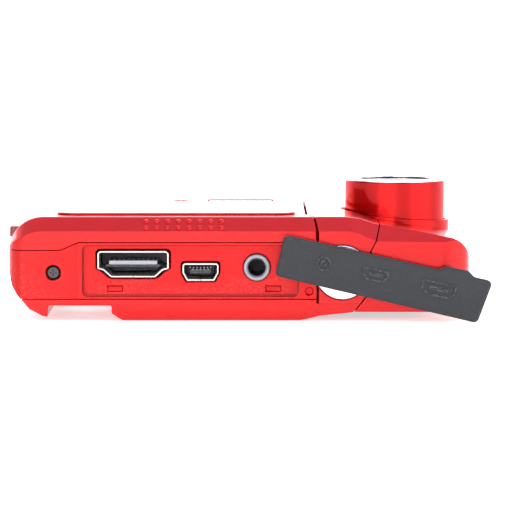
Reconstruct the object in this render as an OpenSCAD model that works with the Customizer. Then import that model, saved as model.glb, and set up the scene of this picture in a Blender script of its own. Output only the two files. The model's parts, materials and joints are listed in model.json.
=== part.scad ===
// Compact digital camera lying on its back: lens along +Z, bottom face at y = 0, top at y = body_h.
// +X runs towards the lens side. The origin is the centre of the tripod socket's mouth.
// Millimetres.

/* [Body] */
// Height of the body, from the bottom face to the top
body_h = 58; // [56:0.5:60]
// Thickness of the casing walls
wall = 1.2; // [1.0:0.1:1.4]
// Plane of the front face
front_z = 11.2; // [11.0:0.1:11.4]
// Plane of the two rails the camera rests on
rest_z = -9.9; // [-10.1:0.05:-9.9]
// Run of the bevel, measured along the front face
bevel_run = 3.2; // [2.8:0.1:3.6]
// Rise of the front plate above the front face
plate_rise = 0.5; // [0.4:0.05:0.7]

/* [Lens] */
// Distance of the lens axis from the tripod socket, sideways
lens_x = 11.8; // [11.6:0.1:12.0]
// Height of the lens axis above the bottom face
lens_y = 28; // [27:0.5:29]
// Radius of the outer barrel
barrel_r = 10.5; // [10.3:0.1:10.6]
// Front of the outer barrel, extended
barrel_top = 17.8; // [17:0.1:18.5]

/* [Ports] */
// Centre of the HDMI socket, sideways
hdmi_x = -42.8; // [-43.2:0.1:-42.4]
// Centre of the USB socket, sideways
usb_x = -29; // [-29.4:0.1:-28.6]
// Centre of the audio and video jack, sideways
jack_x = -17.5; // [-17.8:0.1:-17.2]
// Radius of the jack's bore
jack_r = 1.8; // [1.78:0.01:1.82]
// Depth of the port recess
recess_depth = 2.0; // [1.8:0.1:2.2]

/* [Port cover] */
// Angle of the open cover below the horizontal
cover_tilt = 12.8; // [11:0.1:12.8]
// How far the cover's back stands off the bottom face
cover_gap = 1.5; // [1.4:0.1:2]

/* [Tripod socket] */
// Radius of the thread
thread_r = 2.55; // [2.5:0.01:2.6]
// Radius of the metal flange
flange_r = 5.63; // [5.5:0.01:5.7]

/* [Hidden] */
$fn = 64;

// Casing outline
left_x = -68.3;
right_x = 26.3;
lip_z = 8.4;
bevel_slope = (front_z - lip_z) / bevel_run;
rear_z = -8.1;
channel_z = -6.8;
channel_x0 = -60.1;
channel_x1 = -47.2;
rail_w = 6.5;
seam = 0.12;
front_seam_z = 6.1;
rear_seam_z = -5.5;
band_seam_z = -6.4;
inner_rear_z = rear_z + wall;
// Screen opening in the back
screen_x0 = -43.8;
screen_x1 = 17.5;
screen_y0 = 6.9;
screen_y1 = body_h - 6.9;
ledge = 1.3;
glass_z = -8.02;
glass_t = 0.6;
// Port recess
recess_x0 = -53.2;
recess_x1 = -8.9;
recess_z0 = -5.0;
recess_z1 = 5.6;
floor_back = recess_depth + 1;
shell_front = 0.9;
port_wall = 0.35;
jack_z = 0.9;
jack_back = 13;
// Cover tether
tether_x = -11.12;
tether_z = 2.09;
tether_r = 0.9;
cover_t = 1.5;
// Grip-end door and what it closes on
door_y0 = 15.2;
door_y1 = 51.3;
door_z0 = -4.85;
door_z1 = 5.4;
door_axis_x = -66.6;
door_axis_z = -3.1;
door_pin_r = 0.4;
catch_y = 12.3;
strap_y = 4.4;
strap_z0 = -3.6;
strap_z1 = -1.5;
// Lens stack
ring_r = 11.45;
housing_r = 12.6;
housing_top = 4.2;
rim_z = 9.85;
rim_slope = 0.07;
blade_pivot = 6.9;
blade_open = 31.5;
// Top and rear controls
shutter_x = -53;
shutter_z = 0.3;
pad_x = -53.65;
pad_y = 25;
flange_z = -5.5;

function arc(cx, cy, r, a0, a1, n) =
    [for (i = [0 : n]) let (a = a0 + (a1 - a0) * i / n) [cx + r * cos(a), cy + r * sin(a)]];

front_line = concat(arc(left_x + 7, front_z - 7, 7, 180, 90, 16),
    [[0.5, front_z], [3.6, 10.85], [6.8, 9.8], [11.7, 9.0], [17.9, 7.9], [21.3, 7.2]],
    arc(20.9, 1.8, 5.4, 80, 0, 16));
rear_line = concat(arc(21.3, -3.1, 5, 0, -90, 14),
    [[2.4, rear_z], [0.5, -8.35], [-4.6, -8.86], [-8.7, rest_z], [-45, rest_z], [channel_x1, -8.4],
     [channel_x1, channel_z], [channel_x0, channel_z], [channel_x0 - 0.2, -9.15], [-61.4, -8.9],
     [-64.0, -7.5], [-66.5, -4.7], [-67.6, -2.9], [left_x, 0]]);
// Edge between the bevel and the bottom face
lip_line = concat([[left_x, -60]], arc(left_x + 7, lip_z - 7, 7, 180, 90, 16),
    [[1.5, lip_z], [3.6, 7.9], [6.8, 6.35], [21.5, 6.2]], arc(21.3, 1.2, 5, 87, 0, 5),
    [[right_x, -60]]);
// Seam between the centre band and the end cover, bending around the tripod socket
end_seam = concat([[8.5, 16], [7.7, 9.4], [6.9, 6.4]], arc(0, 0, 7, 36, -50, 8),
    [[3.8, -6.3], [2.4, rear_z], [1.2, -14]]);
// Seam between the grip section and the centre band
grip_seam = [[-5, -2], [-5, 0], [-5.7, 3.2], [-7.2, 10], [-7.2, body_h - 10], [-5.7, body_h - 3.2],
    [-5, body_h], [-5, body_h + 2]];

// Lays an [x, z] outline out along Y
module along_y(y0, y1) {
    translate([0, y1, 0]) rotate([90, 0, 0]) linear_extrude(y1 - y0) children();
}

// Box between two corners
module block(x0, x1, y0, y1, z0, z1) {
    translate([x0, y0, z0]) cube([x1 - x0, y1 - y0, z1 - z0]);
}

// Round bar along Y
module y_rod(x, z, r, y0, y1) {
    translate([x, y0, z]) rotate([-90, 0, 0]) cylinder(r = r, h = y1 - y0);
}

// Round bar along Z
module z_rod(x, y, r, z0, z1) {
    translate([x, y, z0]) cylinder(r = r, h = z1 - z0);
}

// Tube along the lens axis
module lens_tube(r_out, r_in, z0, z1) {
    difference() {
        z_rod(lens_x, lens_y, r_out, z0, z1);
        z_rod(lens_x, lens_y, r_in, z0 - 1, z1 + 1);
    }
}

// Rounded rectangle between two corners
module soft_rect(x0, x1, y0, y1, r) {
    polygon(concat(arc(x1 - r, y1 - r, r, 0, 90, 5), arc(x0 + r, y1 - r, r, 90, 180, 5),
        arc(x0 + r, y0 + r, r, 180, 270, 5), arc(x1 - r, y0 + r, r, 270, 360, 5)));
}

// Outline seen from the front, drawn in by a margin
module front_view(inset) {
    polygon(concat(arc(right_x - 6, body_h - 6, 6 - inset, 0, 90, 10),
        arc(left_x + 6, body_h - 6, 6 - inset, 90, 180, 10),
        arc(left_x + 4, 4, 4 - inset, 180, 270, 8),
        arc(right_x - 6, 6, 6 - inset, 270, 360, 10)));
}

// Solid casing shape, drawn in by a margin
module casing_shape(inset) {
    intersection() {
        along_y(inset, body_h - inset) offset(delta = -inset) polygon(concat(front_line, rear_line));
        translate([0, 0, -20]) linear_extrude(40) front_view(inset);
        intersection_for (end = [0, 1])
            multmatrix([[1, 0, 0, 0], [0, 1, 0, 0],
                [0, end == 0 ? bevel_slope : -bevel_slope, 1,
                 (end == 0 ? 0 : bevel_slope * body_h) - inset * 1.33]])
                along_y(-5, body_h + 5) polygon(lip_line);
    }
}

// Whole casing as one thin shell, with the screen's flat between its rails
module casing() {
    difference() {
        casing_shape(0);
        intersection() {
            casing_shape(wall);
            block(-80, 40, 0, body_h, inner_rear_z, 20);
        }
        block(-44.6, 4, rail_w, body_h - rail_w, -20, rear_z);
    }
}

// Everything on the grip side of the first seam
module grip_side(gap) {
    translate([-gap, 0, -20]) linear_extrude(40)
        polygon(concat([[-80, -2]], grip_seam, [[-80, body_h + 2]]));
}

// Everything on the lens side of the second seam
module lens_side(gap) {
    translate([gap, 0, 0]) along_y(-2, body_h + 2) polygon(concat([[40, -14], [40, 16]], end_seam));
}

// Step in the front seam at the grip end
module corner_step() {
    along_y(-2, 8) polygon([[-80, 4.5], [-57.7, 4.5], [-54, front_seam_z], [-54, 7], [-80, 7]]);
}

module screen_cuts() {
    block(screen_x0 + ledge, screen_x1 - ledge, screen_y0 + ledge, screen_y1 - ledge, -20, -6);
    block(screen_x0 - 0.1, screen_x1 + 0.1, screen_y0 - 0.1, screen_y1 + 0.1, -20, glass_z + glass_t + 0.02);
}

// Cut-outs of the sockets' outlines, as [x, z]
function hdmi_outline(g) = let (w = 7.3 + g) [[hdmi_x - w, 4.3 + g - 0.5], [hdmi_x - w + 0.5, 4.3 + g],
    [hdmi_x + w - 0.5, 4.3 + g], [hdmi_x + w, 4.3 + g - 0.5], [hdmi_x + w, 0.65],
    [hdmi_x + w - 1.2, 0.33 - g], [hdmi_x + 4.7 + g, -0.9 - g], [hdmi_x + 4.4, -1.1 - g],
    [hdmi_x - 4.4, -1.1 - g], [hdmi_x - 4.7 - g, -0.9 - g], [hdmi_x - w + 1.2, 0.33 - g],
    [hdmi_x - w, 0.65]];
function usb_outline(g) = let (w = 3.7 + g) [[usb_x - w, 1.4 + g], [usb_x - w + 0.4, 1.8 + g],
    [usb_x + w - 0.4, 1.8 + g], [usb_x + w, 1.4 + g], [usb_x + w, -0.2], [usb_x + w - 0.9, -1.8 - g],
    [usb_x - w + 0.9, -1.8 - g], [usb_x - w, -0.2]];

module front_cover() {
    color("red") difference() {
        intersection() {
            casing();
            grip_side(0.2);
            union() {
                block(-80, 0, -2, body_h + 2, front_seam_z + seam / 2, 20);
                translate([0, 0, seam / 2]) corner_step();
            }
        }
        // Openings for the flash and the focus lamp, and the seat of the front plate
        translate([0, 0, 5]) linear_extrude(10) soft_rect(-28.1, -13.9, 41.9, 48.1, 1);
        z_rod(-34, 45, 1.6, 5, 20);
        block(-75, -65.9, catch_y - 0.15, catch_y + 5.65, 6.25, 8.6);
    }
    // Grille bumps over the speaker, in two rows on the bevel
    color("firebrick") for (row = [0, 1], i = [0 : 7])
        translate([-40.1 + 2.2 * i, 0.75 + 1.35 * row, lip_z + bevel_slope * (0.75 + 1.35 * row)])
            rotate([90 - atan(1 / bevel_slope), 0, 0]) translate([0, 0, -0.4]) cylinder(r1 = 0.66, r2 = 0.3, h = 0.8);
}

module front_plate() {
    color("red") translate([0, 0, front_z]) difference() {
        linear_extrude(plate_rise) soft_rect(-58.9, -9.5, 7, 51, 4);
        translate([0, 0, -1]) linear_extrude(3) soft_rect(-28.1, -13.9, 41.9, 48.1, 1);
        z_rod(-34, 45, 1.6, -1, 3);
    }
}

module centre_band() {
    color("red") difference() {
        intersection() {
            casing();
            block(-10, 15, -2, body_h + 2, band_seam_z + 0.015, 20);
        }
        grip_side(-0.2);
        lens_side(-seam);
        y_rod(0, 0, flange_r + 0.08, -1, 3);
        z_rod(lens_x, lens_y, ring_r + 0.1, housing_top, 20);
    }
}

module end_cover() {
    color("red") difference() {
        intersection() {
            casing();
            lens_side(seam);
        }
        screen_cuts();
        z_rod(lens_x, lens_y, ring_r + 0.1, housing_top, 20);
        y_rod(18.5, -1.0, 1.45, -1, 5);
    }
}

module port_frame() {
    color("tomato") difference() {
        union() {
            intersection() {
                casing();
                grip_side(0.2);
                block(-80, 0, -2, body_h + 2, rear_seam_z + seam / 2, front_seam_z - seam / 2);
            }
            block(-54.4, -7.6, 0.2, floor_back, rear_seam_z + seam / 2, front_seam_z - seam / 2);
            // Ears for the door's pin
            y_rod(door_axis_x, door_axis_z, 0.8, door_y0 - 0.8, 19.8);
            y_rod(door_axis_x, door_axis_z, 0.8, 46.7, door_y1 + 0.8);
        }
        translate([0, 0, -seam / 2]) corner_step();
        along_y(-1, recess_depth) soft_rect(recess_x0, recess_x1, recess_z0, recess_z1, 1.2);
        // Socket openings, latch slots and the tether's hole
        along_y(0, 5) polygon(hdmi_outline(0.35));
        along_y(0, 5) polygon(usb_outline(0.3));
        y_rod(jack_x, jack_z, 2.75, 0, 5);
        for (x = [-48.1, -15.7])
            block(x, x + 3.1, 0, recess_depth + 0.7, -4.15, -2.95);
        y_rod(tether_x, tether_z, tether_r + 0.12, 0, 5);
        y_rod(0, 0, flange_r + 0.08, -1, 3);
        // Screw pocket, nail scoop and the shallow step at the grip end
        y_rod(-59.1, -0.1, 1.55, -1, 5);
        y_rod(-6.75, -3.9, 0.8, -1, 0.8);
        block(-75, -54.2, -1, 0.22, -6, 7);
        // Door opening, the pin's hole and the strap's pocket
        difference() {
            block(-75, -64.5, door_y0, door_y1, door_z0, door_z1);
            y_rod(door_axis_x, door_axis_z, 0.8, door_y0 - 0.8, 19.8);
            y_rod(door_axis_x, door_axis_z, 0.8, 46.7, door_y1 + 0.8);
        }
        y_rod(door_axis_x, door_axis_z, door_pin_r + 0.02, door_y0, door_y1);
        block(-75, -65.9, strap_y - 2, strap_y + 2, strap_z0, strap_z1);
        // Top openings for the shutter button, zoom lever, power button and microphone
        y_rod(shutter_x, shutter_z, 4.1, body_h - 3, body_h + 1);
        translate([0, body_h - 3, 0]) block(-38.1, -29.9, 0, 5, -1.4, 2.0);
        for (x = [-22, -19.5])
            y_rod(x, 0.3, 0.45, body_h - 3, body_h + 1);
    }
}

module rear_cover() {
    color("red") difference() {
        intersection() {
            casing();
            block(-80, 15, -2, body_h + 2, -20, rear_seam_z - seam / 2);
        }
        // The centre band reaches further back around the tripod socket
        difference() {
            block(-10, 15, -2, body_h + 2, band_seam_z - 0.015, 0);
            grip_side(0.2);
        }
        lens_side(-seam);
        screen_cuts();
        y_rod(0, 0, flange_r + 0.08, -1, 3);
        // Holes for the rear controls
        z_rod(pad_x, pad_y, 5.9, -20, 0);
        z_rod(pad_x, 50, 2.6, -20, 0);
        for (p = [[-56.6, 39], [-50.7, 39], [pad_x, 12]])
            z_rod(p[0], p[1], 2.1, -20, 0);
    }
}

module display_window() {
    color([0.06, 0.06, 0.07]) translate([0, 0, glass_z]) linear_extrude(glass_t)
        soft_rect(screen_x0, screen_x1, screen_y0, screen_y1, 1);
}

module display_module() {
    color("dimgray") {
        block(-42.2, 15.8, 8.6, body_h - 8.6, -7.1, -5.5);
        block(-38, -8, body_h - 8.6, body_h - 5, -6.6, -6.3);
    }
}

module cross_screw(x, z, r, y0, y1) {
    difference() {
        y_rod(x, z, r, y0, y1);
        block(x - r * 0.7, x + r * 0.7, y0 - 1, y0 + 0.4, z - 0.2, z + 0.2);
        block(x - 0.2, x + 0.2, y0 - 1, y0 + 0.4, z - r * 0.7, z + r * 0.7);
    }
}

module casing_screws() {
    color("dimgray") {
        cross_screw(-59.1, -0.1, 1.35, 0.8, 4.5);
        cross_screw(18.5, -1.0, 1.25, 0.7, 5);
    }
}

module hdmi_shell() {
    color("silver") difference() {
        along_y(shell_front, 12) polygon(hdmi_outline(0));
        along_y(0, 10.9) polygon(hdmi_outline(-port_wall));
    }
}

module hdmi_insert() {
    color([0.2, 0.2, 0.22]) {
        along_y(9.6, 10.8) polygon(hdmi_outline(-port_wall - 0.05));
        block(hdmi_x - 5.6, hdmi_x + 5.6, 1.9, 9.7, 0.95, 1.5);
    }
    color("silver") block(hdmi_x - 4.95, hdmi_x + 4.95, 1.6, 9.7, 1.5, 2.3);
}

module usb_shell() {
    color("silver") difference() {
        along_y(shell_front, 9.8) polygon(usb_outline(0));
        along_y(0, 8.9) polygon(usb_outline(-port_wall));
    }
}

module usb_insert() {
    color([0.1, 0.1, 0.1]) {
        along_y(7.8, 8.8) polygon(usb_outline(-port_wall - 0.05));
        block(usb_x - 2.2, usb_x + 2.2, 1.7, 7.9, -0.4, 0.5);
    }
}

module av_jack() {
    color("silver") difference() {
        union() {
            y_rod(jack_x, jack_z, 2.65, 0.8, 4);
            block(jack_x - 3.1, jack_x + 3.1, floor_back + 0.05, jack_back, -1.8, 3.9);
        }
        y_rod(jack_x, jack_z, jack_r, 0, jack_back - 1);
    }
}

module port_board() {
    color("darkgreen") block(-52, -13, floor_back + 0.1, 15.5, -2.65, -1.85);
    color("goldenrod") for (x = [-46, -39.6])
        block(x, x + 1, 5, 8, -1.85, -1.15);
}

module main_board() {
    color("darkgreen") block(-46.5, -3, 3.4, body_h - 6, -5.1, -4.35);
    color([0.12, 0.12, 0.13]) for (p = [[-44, 36], [-44, 44], [-12, 20], [-12, 30]])
        block(p[0], p[0] + 6, p[1], p[1] + 5, -4.35, -3.95);
}

module processor_shield() {
    color("silver") difference() {
        block(-24, -7, 36, 50, -4.3, -2.5);
        block(-23.7, -7.3, 36.3, 49.7, -4.5, -2.8);
    }
}

module battery_bay() {
    color([0.15, 0.15, 0.16]) difference() {
        block(-65.3, -25.2, 17.4, 49.6, -0.45, 5.7);
        block(-70, -25.9, 17.9, 49.1, -0.1, 5.2);
    }
}

module battery_contacts() {
    color("gold") for (y = [30, 33.5, 37])
        block(-26.9, -25.95, y - 0.7, y + 0.7, 1.6, 3.4);
}

module battery() {
    color([0.25, 0.27, 0.3]) block(-65.4, -27.0, 18, 49, 0, 5.1);
}

module card_slot() {
    color("silver") difference() {
        block(-65.3, -31.5, 21.4, 46.6, -3.8, -0.75);
        block(-70, -32, 21.8, 46.2, -3.55, -1.0);
    }
}

module memory_card() {
    color([0.1, 0.15, 0.35]) difference() {
        block(-65.2, -33.2, 22, 46, -3.35, -1.25);
        translate([-33.2, 22, -5]) rotate([0, 0, 45]) cube([5.6, 5.6, 8], center = true);
    }
}

module tripod_socket() {
    color("white") difference() {
        union() {
            y_rod(0, 0, flange_r, 0, 1);
            y_rod(0, 0, 4.2, 0.5, 6.6);
        }
        y_rod(0, 0, thread_r, -1, 5.5);
    }
}

module speaker() {
    color([0.15, 0.15, 0.16]) translate([-32.4, 2.2, 6.4]) block(-6.5, 6.5, 0, 5.5, 0, 1.6);
}

module flash_window() {
    color([0.95, 0.97, 1, 0.5]) translate([0, 0, front_z - 0.9]) linear_extrude(1.25)
        soft_rect(-27.9, -14.1, 42.1, 47.9, 0.8);
}

module flash_reflector() {
    color("gainsboro") difference() {
        block(-27.5, -14.5, 42.4, 47.6, 6.6, front_z - 1.1);
        translate([0, 45, front_z]) rotate([0, 90, 0]) translate([0, 0, -26.9]) cylinder(r = 2.4, h = 11.8);
        block(-26.9, -15.1, 42.9, 47.1, front_z - 2, front_z);
    }
}

module flash_tube() {
    color("white") translate([0, 45, front_z - 1.7]) rotate([0, 90, 0])
        translate([0, 0, -26.6]) cylinder(r = 0.6, h = 11.2);
}

module flash_capacitor() {
    color([0.1, 0.1, 0.3]) translate([-23.5, 23, 5.2]) rotate([0, 90, 0]) {
        cylinder(r = 3.6, h = 16.5);
        translate([0, 0, 16.5]) cylinder(r = 3.2, h = 0.6);
    }
}

module af_lamp() {
    color("orange") z_rod(-34, 45, 1.5, front_z - 1.6, front_z + plate_rise - 0.1);
}

module microphone() {
    color("silver") y_rod(-20.75, 0.3, 2.2, body_h - 3.4, body_h - 1.3);
}

module switch_board() {
    color("darkgreen") block(-62, -16, body_h - 6.3, body_h - 5.5, -3.8, 4.6);
    color("silver") for (x = [shutter_x, -34])
        y_rod(x, 0.3, 1.6, body_h - 5.5, body_h - 4.9);
}

module keypad_board() {
    color("darkgreen") block(-60, -47.5, 4, body_h - 6.8, -4.7, -4.2);
}

module lens_housing() {
    color([0.12, 0.12, 0.13]) difference() {
        union() {
            lens_tube(housing_r, 10.9, -4.2, housing_top - 0.05);
            z_rod(lens_x, lens_y, 11, -4.2, -3.2);
            lens_tube(6.6, 5.7, -3.3, 1.6);
        }
        block(lens_x - 4.7, lens_x + 4.7, lens_y - 3.9, lens_y + 3.9, -5, -3);
    }
}

module rear_lens() {
    color([0.6, 0.75, 0.9, 0.5]) rotate_extrude_lens(5.6, -0.9, 1.1, 0.5);
}

// Lens element with two gently curved faces
module rotate_extrude_lens(r, z0, z1, sag) {
    translate([lens_x, lens_y, 0]) rotate_extrude()
        polygon(concat([[0, z0 - sag]], [for (i = [1 : 5]) [r * i / 5, z0 - sag + sag * i * i / 25]],
            [for (i = [5 : -1 : 1]) [r * i / 5, z1 + sag - sag * i * i / 25]], [[0, z1 + sag]]));
}

// The ring's rim falls towards the end cover with the front face
module lens_trim_ring() {
    color("red") intersection() {
        lens_tube(ring_r, barrel_r + 0.25, housing_top, 12);
        along_y(0, body_h) polygon([[-2, 0], [26, 0], [26, rim_z - rim_slope * (26 - lens_x)],
            [-2, rim_z + rim_slope * (lens_x + 2)]]);
    }
}

module zoom_motor() {
    color("silver") {
        z_rod(2.6, 46.5, 3.2, -3, 5.4);
        z_rod(2.6, 46.5, 0.5, 5.4, 7.4);
    }
    color([0.12, 0.12, 0.13]) block(7, 16, 42.5, 50, -3, 2.5);
}

module sensor_board() {
    color("darkgreen") block(0.2, 23.2, 17, 39.5, -5.2, -4.65);
}

module image_sensor() {
    color([0.1, 0.15, 0.12]) block(lens_x - 4.5, lens_x + 4.5, lens_y - 3.7, lens_y + 3.7, -4.65, -3.6);
}

module outer_barrel() {
    color("red") lens_tube(barrel_r, 9.5, 5, barrel_top - 0.6);
}

module barrel_front_ring() {
    color("whitesmoke") translate([lens_x, lens_y, 0]) rotate_extrude()
        polygon([[8.65, barrel_top - 0.6], [barrel_r, barrel_top - 0.6], [barrel_r, barrel_top - 0.2],
            [barrel_r - 0.25, barrel_top], [9.1, barrel_top], [8.65, barrel_top - 0.3]]);
}

module inner_barrel() {
    color([0.1, 0.1, 0.11]) lens_tube(8.4, 7.9, 5.4, 16.1);
}

module inner_front_ring() {
    color([0.08, 0.08, 0.08]) {
        translate([lens_x, lens_y, 0]) rotate_extrude()
            polygon([[4.0, 16.15], [8.4, 16.15], [8.4, 16.9], [8.1, 17.1], [7.2, 17.0], [4.6, 16.5],
                [4.0, 16.4]]);
        for (side = [-1, 1])
            z_rod(lens_x, lens_y + side * blade_pivot, 0.4, 15.0, 16.3);
    }
}

module front_lens() {
    color([0.6, 0.75, 0.9, 0.5]) rotate_extrude_lens(7.8, 10.6, 13.2, 1.0);
}

// One leaf of the lens barrier, drawn parked clear of the glass
module barrier_blade(z0) {
    difference() {
        intersection() {
            z_rod(0, 0, 7.75, z0, z0 + 0.25);
            translate([0, -blade_pivot, z0]) rotate([0, 0, -blade_open]) union() {
                intersection() {
                    z_rod(0, blade_pivot, 4.5, 0, 0.25);
                    block(0.02, 10, -3, 14, -1, 1);
                }
                translate([0.02, -1, 0]) cube([3.2, blade_pivot - 1, 0.25]);
                cylinder(r = 0.8, h = 0.25);
            }
        }
        translate([0, -blade_pivot, z0 - 1]) cylinder(r = 0.46, h = 3);
    }
}

module barrier_blade_a() {
    color("dimgray") translate([lens_x, lens_y, 0]) barrier_blade(15.2);
}

module barrier_blade_b() {
    color("dimgray") translate([lens_x, lens_y, 0]) rotate([0, 0, 180]) barrier_blade(15.6);
}

module shutter_button() {
    color("silver") {
        y_rod(shutter_x, shutter_z, 3.2, body_h - 0.6, body_h + 2.5);
        y_rod(shutter_x, shutter_z, 1.4, body_h - 4.0, body_h - 0.5);
    }
}

module zoom_lever() {
    color("silver") difference() {
        union() {
            y_rod(shutter_x, shutter_z, 5.2, body_h + 0.15, body_h + 1.9);
            y_rod(shutter_x, shutter_z, 4.0, body_h - 1.8, body_h + 0.5);
            translate([shutter_x, body_h + 0.15, shutter_z]) block(-1.1, 1.1, 0, 1.75, 4, 6.6);
        }
        y_rod(shutter_x, shutter_z, 3.35, body_h - 3, body_h + 3);
    }
}

module power_button() {
    color("silver") {
        block(-38, -30, body_h - 1.0, body_h + 0.5, -1.3, 1.9);
        y_rod(-34, 0.3, 1.2, body_h - 4.3, body_h - 0.9);
    }
}

// Round push button in the control strip, with its flange inside the cover
module strip_button(x, y, r, proud) {
    z_rod(x, y, r, channel_z - proud, flange_z);
    z_rod(x, y, r + 0.6, flange_z, flange_z + 0.35);
}

module record_button() {
    color("silver") strip_button(pad_x, 50, 2.5, 0.5);
}

module playback_button() {
    color("silver") strip_button(-56.6, 39, 2.0, 0.6);
}

module menu_button() {
    color("silver") strip_button(-50.7, 39, 2.0, 0.6);
}

module delete_button() {
    color("silver") strip_button(pad_x, 12, 2.0, 0.6);
}

module control_pad() {
    color("silver") difference() {
        strip_button(pad_x, pad_y, 5.8, 0.9);
        z_rod(pad_x, pad_y, 2.7, -20, 0);
    }
}

module ok_button() {
    color("silver") z_rod(pad_x, pad_y, 2.6, channel_z - 1.1, flange_z + 0.35);
}

module battery_door() {
    color("tomato") difference() {
        union() {
            intersection() {
                casing();
                block(-75, -64.5, door_y0 + 0.15, door_y1 - 0.15, door_axis_z - 0.4, door_z1 - 0.15);
            }
            // Thumb ridge along the door
            intersection() {
                y_rod(-63.9, -1.1, 5.2, 20.5, 32);
                block(-75, -67.2, 20, 33, -3.4, 4);
            }
            y_rod(door_axis_x, door_axis_z, 0.8, 20.0, 46.5);
        }
        y_rod(door_axis_x, door_axis_z, door_pin_r + 0.06, door_y0 - 1, door_y1 + 1);
        for (y = [door_y0 - 1, 46.5])
            y_rod(door_axis_x, door_axis_z, 1.0, y, y + (y < 20 ? 5.8 : 6));
    }
}

module door_pin() {
    color("silver") y_rod(door_axis_x, door_axis_z, door_pin_r, door_y0 + 0.1, door_y1 - 0.1);
}

module door_catch() {
    color("darkred") block(-68.8, -66.3, catch_y, catch_y + 4, 6.35, 8.5);
}

module strap_bar() {
    color("silver") z_rod(-66.8, strap_y, 0.45, strap_z0, strap_z1);
}

// The cover is drawn open, turned about its tether
module cover_outline(inset) {
    translate([tether_x, tether_z]) rotate(-cover_tilt) offset(r = 1.2 - inset) offset(delta = -1.2)
        polygon([[-2.0, 5.5], [30.2, 5.6], [31.6, 6.55], [36.2, 6.6], [37.6, 5.65], [41.5, 5.65],
            [40.3, -3.4], [-2.1, -3.1]]);
}

module port_cover() {
    back_y = -cover_gap;
    front_y = back_y - cover_t;
    color([0.35, 0.35, 0.36]) difference() {
        union() {
            along_y(front_y + 0.45, back_y) cover_outline(0);
            along_y(front_y, front_y + 0.5) cover_outline(0.4);
            y_rod(tether_x, tether_z, 1.7, back_y - 0.1, back_y + 0.5);
            // Two hooks that snap into the recess
            translate([tether_x, 0, tether_z]) rotate([0, cover_tilt, 0])
                for (u = [2.6, 35])
                    block(u, u + 2.6, back_y - 0.2, back_y + 0.9, 4.75, 5.3);
        }
        y_rod(tether_x, tether_z, tether_r - 0.2 + 0.06, back_y - 0.8, 5);
    }
}

module port_cover_tether() {
    color([0.3, 0.3, 0.31]) {
        y_rod(tether_x, tether_z, tether_r - 0.2, -cover_gap - 0.7, 1);
        y_rod(tether_x, tether_z, tether_r, -cover_gap + 0.7, 6.2);
        y_rod(tether_x, tether_z, 1.6, 6, 7);
    }
}

front_cover();
front_plate();
centre_band();
end_cover();
port_frame();
rear_cover();
display_window();
display_module();
casing_screws();
hdmi_shell();
hdmi_insert();
usb_shell();
usb_insert();
av_jack();
port_board();
main_board();
processor_shield();
battery_bay();
battery_contacts();
card_slot();
tripod_socket();
speaker();
flash_window();
flash_reflector();
flash_tube();
flash_capacitor();
af_lamp();
microphone();
switch_board();
keypad_board();
lens_housing();
lens_trim_ring();
zoom_motor();
sensor_board();
image_sensor();
rear_lens();
outer_barrel();
barrel_front_ring();
inner_barrel();
inner_front_ring();
front_lens();
barrier_blade_a();
barrier_blade_b();
shutter_button();
zoom_lever();
power_button();
record_button();
playback_button();
menu_button();
delete_button();
control_pad();
ok_button();
battery();
memory_card();
battery_door();
door_pin();
door_catch();
port_cover();
port_cover_tether();
strap_bar();
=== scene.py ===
"""Looks for the compact digital camera: finishes, moulded detail, lights and the viewpoint.

The frame's axes are used throughout: +Z along the lens, +Y from the bottom face to the top, and the
origin at the tripod socket's mouth. Shapes are built in millimetres and scaled as they become meshes.
"""

import json
import math

import bmesh
import bpy
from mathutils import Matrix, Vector

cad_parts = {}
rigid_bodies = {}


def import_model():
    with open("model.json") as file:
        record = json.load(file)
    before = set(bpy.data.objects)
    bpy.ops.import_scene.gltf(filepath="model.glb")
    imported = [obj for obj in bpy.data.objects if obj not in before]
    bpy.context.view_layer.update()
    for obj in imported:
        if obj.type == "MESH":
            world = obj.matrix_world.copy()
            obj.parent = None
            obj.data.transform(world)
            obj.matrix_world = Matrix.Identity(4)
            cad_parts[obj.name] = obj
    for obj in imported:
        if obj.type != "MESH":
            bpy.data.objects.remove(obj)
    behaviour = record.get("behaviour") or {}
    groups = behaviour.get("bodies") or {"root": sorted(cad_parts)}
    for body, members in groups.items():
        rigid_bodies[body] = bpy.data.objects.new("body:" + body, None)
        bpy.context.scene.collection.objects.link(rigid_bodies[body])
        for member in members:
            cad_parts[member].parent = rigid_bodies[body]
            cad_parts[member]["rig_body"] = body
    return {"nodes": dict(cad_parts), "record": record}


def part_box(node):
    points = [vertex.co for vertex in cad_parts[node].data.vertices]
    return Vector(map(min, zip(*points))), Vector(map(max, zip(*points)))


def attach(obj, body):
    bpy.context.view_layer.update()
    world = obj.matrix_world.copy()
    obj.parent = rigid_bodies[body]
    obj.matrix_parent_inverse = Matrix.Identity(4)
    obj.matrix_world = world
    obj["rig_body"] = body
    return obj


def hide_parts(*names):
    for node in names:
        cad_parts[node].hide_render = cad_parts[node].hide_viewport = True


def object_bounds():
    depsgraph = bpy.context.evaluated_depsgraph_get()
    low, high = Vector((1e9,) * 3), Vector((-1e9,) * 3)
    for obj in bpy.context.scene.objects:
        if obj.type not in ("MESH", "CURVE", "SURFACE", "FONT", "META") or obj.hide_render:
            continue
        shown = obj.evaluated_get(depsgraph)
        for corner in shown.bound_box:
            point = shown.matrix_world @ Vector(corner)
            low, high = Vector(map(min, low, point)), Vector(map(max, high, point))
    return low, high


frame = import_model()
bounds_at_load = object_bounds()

MM = 0.001
SLOTS = {part["node"]: part["material_slot"] for part in frame["record"]["subparts"]}
FINISHES = {}


# ---------------------------------------------------------------- sizes, in millimetres

# Shared with the CAD. The front bevel runs from BEVEL_FOOT at the bottom face to BEVEL_HEAD at y BEVEL_RUN.
BEVEL_FOOT, BEVEL_HEAD, BEVEL_RUN = 8.4, 11.2, 3.2
# Where the centre band meets the rear cover.
SEAM_Z = -6.4
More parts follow.
